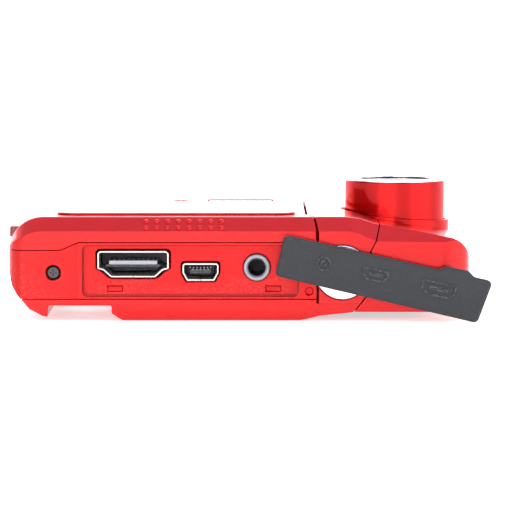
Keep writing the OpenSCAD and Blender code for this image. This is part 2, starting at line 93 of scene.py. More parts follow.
# The open cover's tilt in degrees, and the recess that it closes, as (x0, x1, z0, z1).
COVER_TILT = 12.8
RECESS = (-53.2, -8.9, -5.0, 5.6)
RECESS_DEPTH = 2.0
# Edges of the bottom face in front of this height get the wider rounding of the lip.
LIP_FROM = 6.15
# Heights along Y of the battery's contacts.
CONTACT_ROWS = (30.0, 33.5, 37.0)
# Steps that never repeat, for scattering the parts on a circuit board.
GOLDEN, SILVER = 0.618034, 0.414


class Box:
    """A CAD node's box in millimetres, with its centre and half sizes."""

    def __init__(self, node):
        low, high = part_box(node)
        self.low, self.high = low / MM, high / MM
        self.mid = (self.low + self.high) / 2
        self.half = (self.high - self.low) / 2


# ---------------------------------------------------------------- outlines


def circle(centre, radius, steps=96):
    angles = [math.radians(360 * i / steps) for i in range(steps)]
    return [(centre[0] + radius * math.cos(a), centre[1] + radius * math.sin(a)) for a in angles]


def rectangle(x0, x1, y0, y1):
    return [(x1, y1), (x0, y1), (x0, y0), (x1, y0)]


def rounded(points, radius, steps=5, closed=True):
    """The same line with its corners rounded, as far as its sides leave room."""
    result = []
    for i, point in enumerate(points):
        p = Vector(point)
        if not closed and i in (0, len(points) - 1):
            result.append(tuple(p))
            continue
        a = Vector(points[i - 1]) - p
        b = Vector(points[(i + 1) % len(points)]) - p
        opening = a.angle(b)
        if opening > math.radians(172):
            result.append(tuple(p))
            continue
        reach = min(radius / math.tan(opening / 2), 0.46 * a.length, 0.46 * b.length)
        start, end = p + a.normalized() * reach, p + b.normalized() * reach
        for k in range(steps + 1):
            t = k / steps
            result.append(tuple(start * (1 - t) ** 2 + p * (2 * t * (1 - t)) + end * t * t))
    return result


def drawn_in(outline, amount):
    """A counter-clockwise outline moved inwards by an amount, mitred at its corners."""
    result = []
    for i, point in enumerate(outline):
        p = Vector(point)
        before = (p - Vector(outline[i - 1])).normalized()
        after = (Vector(outline[(i + 1) % len(outline)]) - p).normalized()
        n1, n2 = Vector((-before.y, before.x)), Vector((-after.y, after.x))
        result.append(tuple(p + (n1 + n2) * (amount / max(0.4, 1 + n1.dot(n2)))))
    return result


def counter_clockwise(outline):
    area = sum(a[0] * b[1] - b[0] * a[1] for a, b in zip(outline, outline[1:] + outline[:1]))
    return list(outline) if area > 0 else list(reversed(outline))


# ---------------------------------------------------------------- solids, added to a bmesh


def spot(u, v, height, axis):
    """A point of an outline at a height along an axis."""
    return {"x": (height, u, v), "y": (u, height, v), "z": (u, v, height)}[axis]


def skin(bm, rings, closed=False, split=False):
    """Joins rings of equal length. A closed stack makes a hollow ring, an open one gets flat ends.
    A split ring has a gap between its last and first point."""
    rings = [[bm.verts.new(p) for p in ring] for ring in rings]
    count = len(rings[0])
    pairs = list(zip(rings, rings[1:])) + ([(rings[-1], rings[0])] if closed else [])
    for a, b in pairs:
        for i in range(count - 1 if split else count):
            j = (i + 1) % count
            bm.faces.new((a[i], a[j], b[j], b[i]))
    if split:
        bm.faces.new([ring[0] for ring in rings])
        bm.faces.new([ring[-1] for ring in reversed(rings)])
    elif not closed:
        bm.faces.new(list(reversed(rings[0])))
        bm.faces.new(rings[-1])


def loft(bm, outline, profile, axis="z", closed=False):
    """Carries an outline along (inset, height) pairs."""
    outline = counter_clockwise(outline)
    skin(bm, [[spot(u, v, h, axis) for u, v in drawn_in(outline, d)] for d, h in profile], closed)


def turned(bm, centre, profile, axis="z", closed=False, steps=96):
    """Turns (radius, height) pairs about an axis through a centre."""
    skin(bm, [[spot(u, v, h, axis) for u, v in circle(centre, r, steps)] for r, h in profile], closed)


def slab(bm, outline, low, high, edge=0.15, axis="z", steps=3):
    """An outline with thickness, its edges rounded over at both ends."""
    curve = [(1 - math.sin(math.pi / 2 * k / steps), 1 - math.cos(math.pi / 2 * k / steps))
             for k in range(steps + 1)]
    profile = [(edge * d, low + edge * h) for d, h in curve]
    profile += [(edge * d, high - edge * h) for d, h in reversed(curve)]
    loft(bm, outline, profile, axis)


def brick(bm, low, high, edge=0.08, axis="z"):
    """A block between two corners, with eased edges."""
    spans = {"x": (1, 2, 0), "y": (0, 2, 1), "z": (0, 1, 2)}[axis]
    u, v, h = spans
    edge = min(edge, 0.3 * (high[u] - low[u]), 0.3 * (high[v] - low[v]), 0.3 * (high[h] - low[h]))
    outline = rounded(rectangle(low[u], high[u], low[v], high[v]), edge, 3)
    slab(bm, outline, low[h], high[h], edge, axis, 2)


def bead(bm, outline, base, rise, width=0.3, axis="z"):
    """A raised line around an outline, standing on a face at base."""
    top = base + rise
    loft(bm, outline, [(-width / 2, base), (-width / 4, top), (width / 4, top), (width / 2, base)], axis,
         closed=True)


# ---------------------------------------------------------------- pieces


def in_metres(bm):
    bmesh.ops.scale(bm, vec=(MM, MM, MM), verts=bm.verts)
    bmesh.ops.recalc_face_normals(bm, faces=bm.faces)
    return bm


def finished(name, bm, node, *more_nodes, body=None, finish=None, sharp=38):
    """Makes a piece. It stands for its node, unless it is given a body of its own to ride on."""
    mesh = bpy.data.meshes.new(name)
    bm.to_mesh(mesh)
    bm.free()
    mesh.shade_smooth()
    mesh.set_sharp_from_angle(angle=math.radians(sharp))
    slot = finish or SLOTS[node]
    mesh.materials.append(FINISHES[slot])
    obj = bpy.data.objects.new(name, mesh)
    bpy.context.scene.collection.objects.link(obj)
    even = obj.modifiers.new("Even shading", "WEIGHTED_NORMAL")
    even.keep_sharp = True
    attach(obj, body or frame["nodes"][node]["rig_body"])
    if body is None:
        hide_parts(node, *more_nodes)


def piece(bm, node, sharp=38):
    """Turns a bmesh in millimetres into the piece that stands for a CAD node."""
    finished(node + "_shape", in_metres(bm), node, sharp=sharp)


def turned_piece(node, centre, profile, axis="z", closed=False, steps=96, sharp=38):
    """A piece that is turned as a whole."""
    bm = bmesh.new()
    turned(bm, centre, profile, axis, closed, steps)
    piece(bm, node, sharp)


def detail(name, bm, node, finish):
    """A separate small piece that rides on a CAD node's body without standing for the node."""
    finished(name, in_metres(bm), node, body=frame["nodes"][node]["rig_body"], finish=finish)


def room(edge, hard):
    """The widest rounding, in metres, that fits on an edge beside its neighbours."""
    widest = 1.0
    for v in edge.verts:
        along = (edge.other_vert(v).co - v.co).normalized()
        for face in edge.link_faces:
            side = next(e for e in face.edges if e is not edge and v in e.verts)
            far = side.other_vert(v)
            reach = far.co - v.co
            turn = reach.normalized().cross(along).length
            if side in hard:
                if along.dot(reach) < 0 and turn < 0.5:
                    continue
                opening = along.angle(reach, math.pi / 2)
                widest = min(widest, 0.45 * edge.calc_length() * math.tan(opening / 2))
            share = 0.45 if any(e in hard for e in far.link_edges) else 0.9
            widest = min(widest, share * reach.length * turn)
    return widest


def eased(node, width=0.2, angle=30, steps=3, lip=None, tight=None):
    """A copy of a CAD node with its hard edges rounded over, each as far as its neighbours leave room.

    lip is a wider rounding for the bottom face's edges in front of LIP_FROM, and tight the z of a seam
    whose edges stay sharp. Edges that meet nearly in a line take the smallest width along the line."""
    bm = bmesh.new()
    bm.from_mesh(frame["nodes"][node].data)
    bmesh.ops.remove_doubles(bm, verts=bm.verts, dist=2e-6)
    bmesh.ops.dissolve_limit(bm, angle_limit=math.radians(0.6), verts=bm.verts, edges=bm.edges)
    weight = bm.edges.layers.float.new("bevel_weight_edge")
    least, nearly_straight, passes = math.radians(angle), math.radians(135), 40
    # A dict keeps the edges in order, so that every run finds the same widths.
    hard = dict.fromkeys(e for e in bm.edges if len(e.link_faces) == 2 and e.calc_face_angle(0) > least)
    for edge in hard:
        wanted = width
        if lip and all(abs(v.co.y) < 0.02 * MM and v.co.z > LIP_FROM * MM for v in edge.verts):
            wanted = lip
        if tight and all(abs(v.co.z - tight * MM) < 0.1 * MM for v in edge.verts):
            wanted = 0.0
        edge[weight] = min(wanted, room(edge, hard) / MM)
    chains = [(e, f) for e in hard for v in e.verts for f in v.link_edges if f in hard and f is not e
              and (e.other_vert(v).co - v.co).angle(f.other_vert(v).co - v.co, 0) > nearly_straight]
    for _ in range(passes):
        for edge, following in chains:
            edge[weight] = min(edge[weight], following[weight])
    rough = bpy.data.meshes.new(node + "_rough")
    bm.to_mesh(rough)
    bm.free()
    holder = bpy.data.objects.new(node + "_rough", rough)
    bpy.context.scene.collection.objects.link(holder)
    rounding = holder.modifiers.new("Rounding", "BEVEL")
    rounding.limit_method = "WEIGHT"
    rounding.offset_type = "OFFSET"
    rounding.width = MM
    rounding.segments = steps
    rounding.use_clamp_overlap = False
    rounding.loop_slide = False
    holder_now = holder.evaluated_get(bpy.context.evaluated_depsgraph_get())
    bm = bmesh.new()
    bm.from_mesh(holder_now.to_mesh())
    holder_now.to_mesh_clear()
    bpy.data.objects.remove(holder)
    bpy.data.meshes.remove(rough)
    finished(node + "_shape", bm, node)


# ---------------------------------------------------------------- finishes


class Graph:
    """Short names for building a material's nodes."""

    def __init__(self, name):
        self.material = bpy.data.materials.new(name)
        self.material.use_nodes = True
        self.tree = self.material.node_tree
        self.shader = self.tree.nodes["Principled BSDF"]
        self.place = self.add("TexCoord").outputs["Object"]

    def add(self, kind, **sockets):
        node = self.tree.nodes.new("ShaderNode" + kind)
        for key, value in sockets.items():
            self.feed(node.inputs[key.replace("_", " ")], value)
        return node

    def feed(self, socket, value):
        if isinstance(value, bpy.types.NodeSocket):
            self.tree.links.new(value, socket)
        else:
            socket.default_value = value

    def noise(self, scale, detail=3.0, roughness=0.55):
        node = self.add("TexNoise", Vector=self.place, Scale=scale, Detail=detail, Roughness=roughness)
        return node.outputs["Fac"]

    def spread(self, value, low, high, from_low=0.3, from_high=0.7):
        node = self.add("MapRange")
        for key, number in zip(("Value", "From Min", "From Max", "To Min", "To Max"),
                               (value, from_low, from_high, low, high)):
            self.feed(node.inputs[key], number)
        return node.outputs["Result"]

    def math(self, operation, a, b=0.0):
        node = self.add("Math")
        node.operation = operation
        self.feed(node.inputs[0], a)
        self.feed(node.inputs[1], b)
        return node.outputs[0]

    def blend(self, share, a, b):
        node = self.add("Mix")
        node.data_type = "RGBA"
        self.feed(node.inputs[0], share)
        self.feed(node.inputs[6], a)
        self.feed(node.inputs[7], b)
        return node.outputs[2]

    def bump(self, height, strength, depth_mm, below=None):
        node = self.add("Bump", Strength=strength, Distance=depth_mm * MM, Height=height)
        if below is not None:
            self.feed(node.inputs["Normal"], below)
        return node.outputs["Normal"]

    def axis(self, letter):
        return self.add("SeparateXYZ", Vector=self.place).outputs[letter]


def rgba(colour, share=1.0):
    return tuple(min(1.0, c * share) for c in colour) + (1.0,)


def surface(name, colour, rough, metal=0.0, coat=0.0, coat_rough=0.03, mottle=0.05, grain=(9000, 0.06),
            wear=0.0, spread=0.05, ior=1.5):
    """The common build: mottled colour and gloss, fine grain in relief, and rubbed, lighter edges.

    Returns the graph with its colour, roughness and normal, for a finish to add its own layers to."""
    g = Graph(name)
    broad = g.noise(260, 4)
    fine = g.noise(grain[0], 4, 0.6)
    g.colour = g.blend(g.spread(broad, 0.0, 1.0), rgba(colour, 1 - mottle), rgba(colour, 1 + mottle))
    if wear:
        edges = g.spread(g.add("NewGeometry").outputs["Pointiness"], 0.0, wear, 0.51, 0.62)
        rubbed = g.math("MULTIPLY", edges, g.spread(g.noise(2400, 5), 0.0, 1.0, 0.45, 0.65))
        g.colour = g.blend(rubbed, g.colour, rgba([0.25 + 0.75 * c for c in colour]))
    g.rough = g.spread(g.math("ADD", g.math("MULTIPLY", broad, 0.5), g.math("MULTIPLY", fine, 0.5)),
                       max(0.02, rough - spread), rough + spread, 0.35, 0.65)
    g.normal = g.bump(fine, grain[1], 0.02)
    g.shader.inputs["Metallic"].default_value = metal
    g.shader.inputs["Coat Weight"].default_value = coat
    g.shader.inputs["Coat Roughness"].default_value = coat_rough
    g.shader.inputs["IOR"].default_value = ior
    return g


def done(g):
    g.feed(g.shader.inputs["Base Color"], g.colour)
    g.feed(g.shader.inputs["Roughness"], g.rough)
    g.feed(g.shader.inputs["Normal"], g.normal)
    return g.material


def flaked_paint(name, colour, rough, metal, coat_rough=0.03, flake=0.12, peel=0.03, coat=0.32, rim=1.0):
    """Metallic lacquer: flakes that each catch the light differently, under a coat with orange peel."""
    g = surface(name, colour, rough, metal, coat=coat, coat_rough=coat_rough, mottle=0.03,
                grain=(7000, 0.03), wear=0.12)
    flakes = g.add("TexVoronoi", Vector=g.place, Scale=11000.0)
    sparkle = g.add("SeparateXYZ", Vector=flakes.outputs["Color"]).outputs["X"]
    g.colour = g.blend(g.spread(sparkle, 0.0, flake, 0.0, 1.0), g.colour,
                       rgba([min(1, 1.5 * c + 0.01) for c in colour]))
    g.normal = g.bump(g.noise(900, 2), peel, 0.03, g.bump(sparkle, 0.035, 0.01))
    g.feed(g.shader.inputs["Coat Normal"], g.bump(g.noise(700, 2), peel, 0.02))
    g.shader.inputs["Specular IOR Level"].default_value = 0.25
    g.shader.inputs["Specular Tint"].default_value = (1.0, rim, rim, 1.0)
    return done(g)


def moulded(name, colour, rough, texture=(5200, 0.18), coat=0.0, wear=0.2):
    """Moulded plastic with a spark-eroded texture and faint flow marks."""
    g = surface(name, colour, rough, coat=coat, coat_rough=0.2, mottle=0.07, grain=texture, wear=wear)
    g.normal = g.bump(g.noise(420, 2), 0.05, 0.05, g.normal)
    return done(g)


def soft_touch(name, colour):
    """Rubbery cover material: dense pits, a dusting of lighter specks and a slight sheen."""
    g = surface(name, colour, 0.62, mottle=0.10, grain=(5200, 0.30), wear=0.35, spread=0.07)
    specks = g.add("TexVoronoi", Vector=g.place, Scale=2600.0)
    dust = g.spread(specks.outputs["Distance"], 0.35, 0.0, 0.0, 0.16)
    g.colour = g.blend(dust, g.colour, rgba([0.05 + 1.2 * c for c in colour]))
    g.normal = g.bump(specks.outputs["Distance"], 0.10, 0.04, g.normal)
    g.shader.inputs["Sheen Weight"].default_value = 0.05
    g.shader.inputs["Specular IOR Level"].default_value = 0.3
    g.shader.inputs["Sheen Roughness"].default_value = 0.5
    return done(g)


def brushed(name, colour, rough, around=None, lines=9000, strength=0.06, tarnish=0.08):
    """Bare or plated metal with fine turning marks around an axis, or drawn lines along X."""
    g = surface(name, colour, rough, metal=1.0, mottle=0.04, grain=(6500, 0.03), wear=0.1)
    if around is None:
        stretched = g.add("Mapping", Vector=g.place, Scale=(0.05, 1.0, 1.0)).outputs["Vector"]
        marks = g.add("TexNoise", Vector=stretched, Scale=lines, Detail=3.0).outputs["Fac"]
    else:
        moved = g.add("VectorMath")
        moved.operation = "SUBTRACT"
        g.feed(moved.inputs[0], g.place)
        moved.inputs[1].default_value = around[0]
        flat = g.add("VectorMath")
        flat.operation = "MULTIPLY"
        g.feed(flat.inputs[0], moved.outputs[0])
        flat.inputs[1].default_value = around[1]
        length = g.add("VectorMath")
        length.operation = "LENGTH"
        g.feed(length.inputs[0], flat.outputs[0])
        rings = g.math("SINE", g.math("MULTIPLY", length.outputs["Value"], lines * 2.4))
        marks = g.spread(rings, 0.0, 1.0, -1.0, 1.0)
    g.normal = g.bump(marks, strength, 0.01, g.normal)
    stain = g.spread(g.noise(900, 5), 0.0, tarnish, 0.5, 0.75)
    g.colour = g.blend(stain, g.colour, rgba([0.55 * c for c in colour]))
    return done(g)


def clear(name, colour, rough=0.02, ior=1.5, coating=None, transmission=1.0):
    """Glass or clear plastic, with faint smears, and a tinted reflection where it is coated."""
    g = surface(name, colour, rough, mottle=0.02, grain=(1500, 0.004), spread=0.015, ior=ior)
    g.shader.inputs["Transmission Weight"].default_value = transmission
    if coating:
        g.shader.inputs["Coat Weight"].default_value = 0.6
        g.shader.inputs["Coat Tint"].default_value = rgba(coating)
        g.shader.inputs["Specular Tint"].default_value = rgba(coating)
    return done(g)


def circuit_board(name, colour):
    """Solder mask over copper tracks, with tinned pads."""
    g = surface(name, colour, 0.32, coat=0.5, coat_rough=0.1, mottle=0.08, grain=(5000, 0.05))
    tracks = g.add("TexBrick", Vector=g.place, Scale=500.0, Mortar_Size=0.06, Mortar_Smooth=0.2)
    tracks.offset = 0.37
    g.colour = g.blend(tracks.outputs["Fac"], g.colour, rgba([0.7 * c + 0.05 for c in colour]))
    pads = g.add("TexVoronoi", Vector=g.place, Scale=620.0)
    tinned = g.spread(pads.outputs["Distance"], 1.0, 0.0, 0.10, 0.16)
    g.colour = g.blend(tinned, g.colour, (0.62, 0.60, 0.54, 1))
    g.normal = g.bump(tracks.outputs["Fac"], 0.2, 0.03, g.normal)
    return done(g)


def display_glass(name):
    """Black-bordered cover glass, with the panel's slightly lighter field showing through."""
    window = Box("display_window")
    g = surface(name, (0.006, 0.006, 0.007), 0.05, coat=1.0, coat_rough=0.01, mottle=0.1,
                grain=(2000, 0.004), spread=0.02)
    field = None
    for letter, index, border in (("X", 0, 3.4), ("Y", 1, 2.6)):
        off = g.math("ABSOLUTE", g.math("SUBTRACT", g.axis(letter), window.mid[index] * MM))
        edge = (window.half[index] - border) * MM
        inside = g.spread(off, 1.0, 0.0, edge - 0.0001, edge + 0.0001)
        field = inside if field is None else g.math("MULTIPLY", field, inside)
    g.colour = g.blend(field, g.colour, (0.022, 0.023, 0.027, 1))
    smear = g.spread(g.noise(60, 6, 0.65), 0.03, 0.12, 0.4, 0.7)
    g.rough = smear
    return done(g)


def printed_wrap(name, colour, ink, bands):
    """Shrink sleeve or label: bands of ink across X over a satin film with small creases."""
    g = surface(name, colour, 0.38, coat=0.3, coat_rough=0.2, mottle=0.05, grain=(3800, 0.06), wear=0.2)
    stripes = g.math("FRACT", g.math("MULTIPLY", g.axis("X"), 1000.0 / bands))
    g.colour = g.blend(g.spread(stripes, 1.0, 0.0, 0.30, 0.31), g.colour, rgba(ink))
    g.normal = g.bump(g.noise(600, 3), 0.08, 0.06, g.normal)
    return done(g)


def build_finishes():
    lens = Box("outer_barrel").mid * MM
    about_lens = (tuple(lens), (1.0, 1.0, 0.0))
    about_tripod = ((0.0, 0.0, 0.0), (1.0, 0.0, 1.0))
    FINISHES.update(
        red_paint=flaked_paint("Red lacquer", (0.58, 0.002, 0.001), 0.34, 0.55, coat=0.38),
        red_plastic=flaked_paint("Red satin lacquer", (0.58, 0.002, 0.001), 0.38, 0.5, coat_rough=0.06,
                                 peel=0.05, coat=0.24),
        door_red=flaked_paint("Door red", (0.55, 0.002, 0.001), 0.42, 0.45, coat_rough=0.12, peel=0.05),
        catch_red=moulded("Catch red", (0.28, 0.008, 0.006), 0.4),
        barrel_red=flaked_paint("Barrel red", (0.47, 0.001, 0.001), 0.2, 0.85, coat_rough=0.015,
                                flake=0.06, peel=0.01, coat=0.3, rim=0.25),
        ring_silver=brushed("Polished ring", (0.92, 0.92, 0.93), 0.16, about_lens, 5200, 0.03),
        barrel_black=moulded("Lens black", (0.012, 0.012, 0.013), 0.3, texture=(5200, 0.04), coat=1.0,
                             wear=0.05),
        frame_black=moulded("Moulded black", (0.018, 0.018, 0.020), 0.5),
        speaker_black=moulded("Speaker black", (0.015, 0.015, 0.016), 0.55),
        blade_grey=brushed("Barrier leaf grey", (0.10, 0.10, 0.11), 0.42),
        cover_grey=soft_touch("Cover rubber", (0.030, 0.030, 0.032)),
        tether_grey=soft_touch("Tether rubber", (0.070, 0.070, 0.073)),
        dark_screw=brushed("Blackened screw", (0.085, 0.08, 0.08), 0.45, None, 3000, 0.03),
        port_steel=brushed("Plated port shell", (0.70, 0.67, 0.62), 0.42, strength=0.02, tarnish=0.06),
        jack_metal=moulded("Jack ring", (0.34, 0.345, 0.37), 0.36, texture=(5200, 0.05), coat=0.4,
                           wear=0.1),
        port_plastic=moulded("Port insulator", (0.020, 0.020, 0.022), 0.45),
        gold_contact=brushed("Gold contact", (0.95, 0.68, 0.28), 0.25),
        tin_shield=brushed("Tin shield", (0.72, 0.72, 0.73), 0.38, tarnish=0.2),
        steel_plate=brushed("Steel plate", (0.60, 0.61, 0.63), 0.36, tarnish=0.2),
        tripod_metal=brushed("Tripod socket metal", (0.93, 0.93, 0.94), 0.2, about_tripod, 5200, 0.04,
                             0.05),
        motor_steel=brushed("Motor steel", (0.66, 0.66, 0.68), 0.32, tarnish=0.15),
        pin_steel=brushed("Pin steel", (0.74, 0.74, 0.76), 0.22),
        strap_steel=brushed("Strap post steel", (0.70, 0.70, 0.72), 0.24),
        mic_metal=brushed("Microphone can", (0.70, 0.69, 0.66), 0.3),
        button_silver=brushed("Button silver", (0.78, 0.78, 0.80), 0.26, strength=0.03),
        reflector_silver=brushed("Reflector", (0.95, 0.95, 0.96), 0.08, strength=0.01, tarnish=0.02),
        board_green=circuit_board("Circuit board", (0.010, 0.085, 0.030)),
        screen_glass=display_glass("Screen glass"),
        screen_panel=moulded("Screen panel", (0.030, 0.031, 0.036), 0.3, coat=0.5),
        flash_clear=clear("Flash window", (0.97, 0.98, 1.0), 0.06, 1.49),
        tube_glass=clear("Flash tube", (0.96, 0.98, 1.0), 0.03, 1.46),
        lens_glass=clear("Coated lens", (0.97, 0.99, 0.98), 0.02, 1.62, coating=(0.55, 0.62, 1.0)),
        lamp_amber=clear("Focus lamp", (1.0, 0.42, 0.10), 0.08, 1.49, transmission=0.7),
        capacitor_sleeve=printed_wrap("Capacitor sleeve", (0.015, 0.018, 0.055), (0.42, 0.44, 0.50),
                                      16.0),
        battery_label=printed_wrap("Battery label", (0.045, 0.048, 0.055), (0.30, 0.31, 0.33), 12.5),
        card_blue=printed_wrap("Card shell", (0.012, 0.026, 0.13), (0.55, 0.57, 0.62), 24.0),
    )


# ---------------------------------------------------------------- lens


def lens_axis():
    mid = Box("outer_barrel").mid
    return (mid.x, mid.y)


def barrel():
    """Outer barrel and its polished front ring."""
    centre, outer, ring = lens_axis(), Box("outer_barrel"), Box("barrel_front_ring")
    r_out = outer.half.x
    wall = 1.0
    profile = [(r_out, outer.low.z), (r_out, outer.high.z), (r_out - wall, outer.high.z),
               (r_out - wall, outer.low.z)]
    turned_piece("outer_barrel", centre, rounded(profile, 0.12, 3), closed=True, steps=160)

    top, base = ring.high.z, ring.low.z
    profile = [(r_out - 1.85, base), (r_out, base), (r_out, top - 0.22), (r_out - 0.28, top),
               (r_out - 1.25, top), (r_out - 1.6, top - 0.18), (r_out - 1.85, top - 0.34)]
    turned_piece("barrel_front_ring", centre, rounded(profile, 0.14, 4), closed=True, steps=160)


def inner_stage():
    """The black inner stage: a grooved tube with baffles, and its stepped front ring on two posts."""
    centre, tube, face = lens_axis(), Box("inner_barrel"), Box("inner_front_ring")
    r_out = tube.half.x
    profile = [(r_out, tube.low.z)]
    for i in range(3):
        z = tube.high.z - 1.6 - 1.1 * i
        profile[1:1] = [(r_out, z - 0.25), (r_out - 0.12, z - 0.15), (r_out - 0.12, z + 0.05),
                        (r_out, z + 0.15)]
    profile += [(r_out, tube.high.z), (r_out - 0.5, tube.high.z)]
    for i in range(6):
        z = tube.high.z - 0.8 - 1.5 * i
        profile += [(r_out - 0.5, z + 0.2), (r_out - 0.42, z), (r_out - 0.5, z - 0.2)]
    profile += [(r_out - 0.5, tube.low.z)]
    turned_piece("inner_barrel", centre, profile, closed=True, steps=128, sharp=25)

    bm = bmesh.new()
    low, high = face.high.z - 0.95, face.high.z
    profile = [(4.0, low), (8.4, low), (8.4, high - 0.2), (8.25, high - 0.02), (8.0, high),
               (7.3, high - 0.08)]
    for i in range(5):
        r = 7.0 - 0.52 * i
        z = high - 0.16 - 0.09 * i
        profile += [(r, z), (r - 0.1, z - 0.1), (r - 0.32, z - 0.1), (r - 0.42, z - 0.02)]
    profile += [(4.15, high - 0.64), (4.0, high - 0.72)]
    turned(bm, centre, profile, closed=True, steps=128)
    for side in (-1, 1):
        post = (centre[0], centre[1] + side * 6.9)
        turned(bm, post, [(0.3, face.low.z), (0.4, face.low.z + 0.1), (0.4, low + 0.15)], steps=32)
    piece(bm, "inner_front_ring", sharp=25)


def lens_element(node, sag, rim):
    """A ground element: two curved faces and a straight rim."""
    box, centre = Box(node), lens_axis()
    radius, steps = box.half.x, 18
    low, high = box.low.z, box.high.z
    under = [(radius * i / steps, low + sag * (i / steps) ** 2) for i in range(1, steps + 1)]
    over = [(r, high - sag * (r / radius) ** 2) for r, _ in reversed(under)]
    foot, head = under[-1][1], over[0][1]
    edge = [(radius - rim, foot - 0.01), (radius, foot + rim), (radius, head - rim),
            (radius - rim, head + 0.01)]
    turned_piece(node, centre, under[:-1] + edge + over[1:], sharp=45)


# ---------------------------------------------------------------- sockets in the bottom face


def open_outline(left, mid, gap, radius):
    """A socket's outline as (x, z) from its left half, with a gap at the middle of its lower side."""
    right = [(2 * mid - u, v) for u, v in reversed(left)]
    low = left[0][1]
    return rounded([(mid - gap, low)] + left + right + [(mid + gap, low)], radius, 4, closed=False)


def hdmi_outline():
    box = Box("hdmi_shell")
    x, w, low, high = box.mid.x, box.half.x, box.low.z, box.high.z
    left = [(x - 4.4, low), (x - 4.75, low + 0.22), (x - w + 1.2, low + 1.43), (x - w, low + 1.75),
            (x - w, high - 0.5), (x - w + 0.5, high)]
    return open_outline(left, x, 0.07, 0.35)


def usb_outline():
    box = Box("usb_shell")
    x, w, low, high = box.mid.x, box.half.x, box.low.z, box.high.z
    left = [(x - w + 0.9, low), (x - w, low + 1.6), (x - w, high - 0.4), (x - w + 0.4, high)]
    return open_outline(left, x, 0.05, 0.3)


def port_shell(node, outline, wall):
    """A bent-up shell with rolled lips, and the joint in its lower side where the strip's ends meet."""
    box = Box(node)
    front, back = box.low.y, box.high.y
    profile = [(wall, back), (wall, front + 0.12), (wall - 0.05, front + 0.03), (wall - 0.1, front),
               (0.08, front), (0.03, front + 0.03), (0.0, front + 0.12), (0.0, back)]
    bm = bmesh.new()
    outline = counter_clockwise(outline)
    rings = []
    for d, h in profile:
        ring = drawn_in(outline, d)
        ring[0] = (outline[0][0], ring[1][1])
        ring[-1] = (outline[-1][0], ring[-2][1])
        rings.append([spot(u, v, h, "y") for u, v in ring])
    skin(bm, rings, closed=True, split=True)
    inner = drawn_in(outline, wall * 0.3)
    loft(bm, inner, [(0.0, back - 0.45), (0.0, back - 0.02)], "y")
    piece(bm, node)


def hdmi_tongue():
    box, x = Box("hdmi_insert"), Box("hdmi_insert").mid.x
    bm = bmesh.new()
    back = drawn_in(counter_clockwise(hdmi_outline()), 0.45)
    loft(bm, back, [(0.12, box.high.y - 1.2), (0.0, box.high.y - 1.08), (0.0, box.high.y)], "y")
    brick(bm, (x - 5.6, box.low.y + 0.3, 0.95), (x + 5.6, box.high.y - 1.1, 1.55), 0.1, "y")
    piece(bm, "hdmi_insert")
    bm = bmesh.new()
    brick(bm, (x - 4.95, box.low.y, 1.5), (x + 4.95, box.high.y - 1.1, 2.3), 0.14, "y")
    detail("hdmi_tongue_face", bm, "hdmi_insert", "jack_metal")
    bm = bmesh.new()
    for i in range(10):
        u = x - 4.5 + i
        brick(bm, (u - 0.22, box.low.y + 0.35, 2.28), (u + 0.22, box.high.y - 1.3, 2.36), 0.03, "y")
    for i in range(9):
        u = x - 4.0 + i
        brick(bm, (u - 0.2, box.low.y + 1.2, 0.88), (u + 0.2, box.high.y - 1.3, 0.97), 0.03, "y")
    detail("hdmi_contacts", bm, "hdmi_insert", "blade_grey")


def usb_tongue():
    box, x = Box("usb_insert"), Box("usb_insert").mid.x
    bm = bmesh.new()
    back = drawn_in(counter_clockwise(usb_outline()), 0.42)
    loft(bm, back, [(0.1, box.high.y - 1.0), (0.0, box.high.y - 0.9), (0.0, box.high.y)], "y")
    brick(bm, (x - 2.2, box.low.y, -0.4), (x + 2.2, box.high.y - 0.9, 0.5), 0.12, "y")
    piece(bm, "usb_insert")
    bm = bmesh.new()
    for i in range(5):
        u = x - 1.6 + 0.8 * i
        brick(bm, (u - 0.15, box.low.y + 0.02, 0.1), (u + 0.15, box.high.y - 1.1, 0.56), 0.04, "y")
    for i in range(7):
        u = x - 2.1 + 0.7 * i
        brick(bm, (u - 0.1, box.low.y + 0.05, 0.72), (u + 0.1, box.low.y + 1.2, 0.98), 0.03, "y")
    detail("usb_contacts", bm, "usb_insert", "jack_metal")


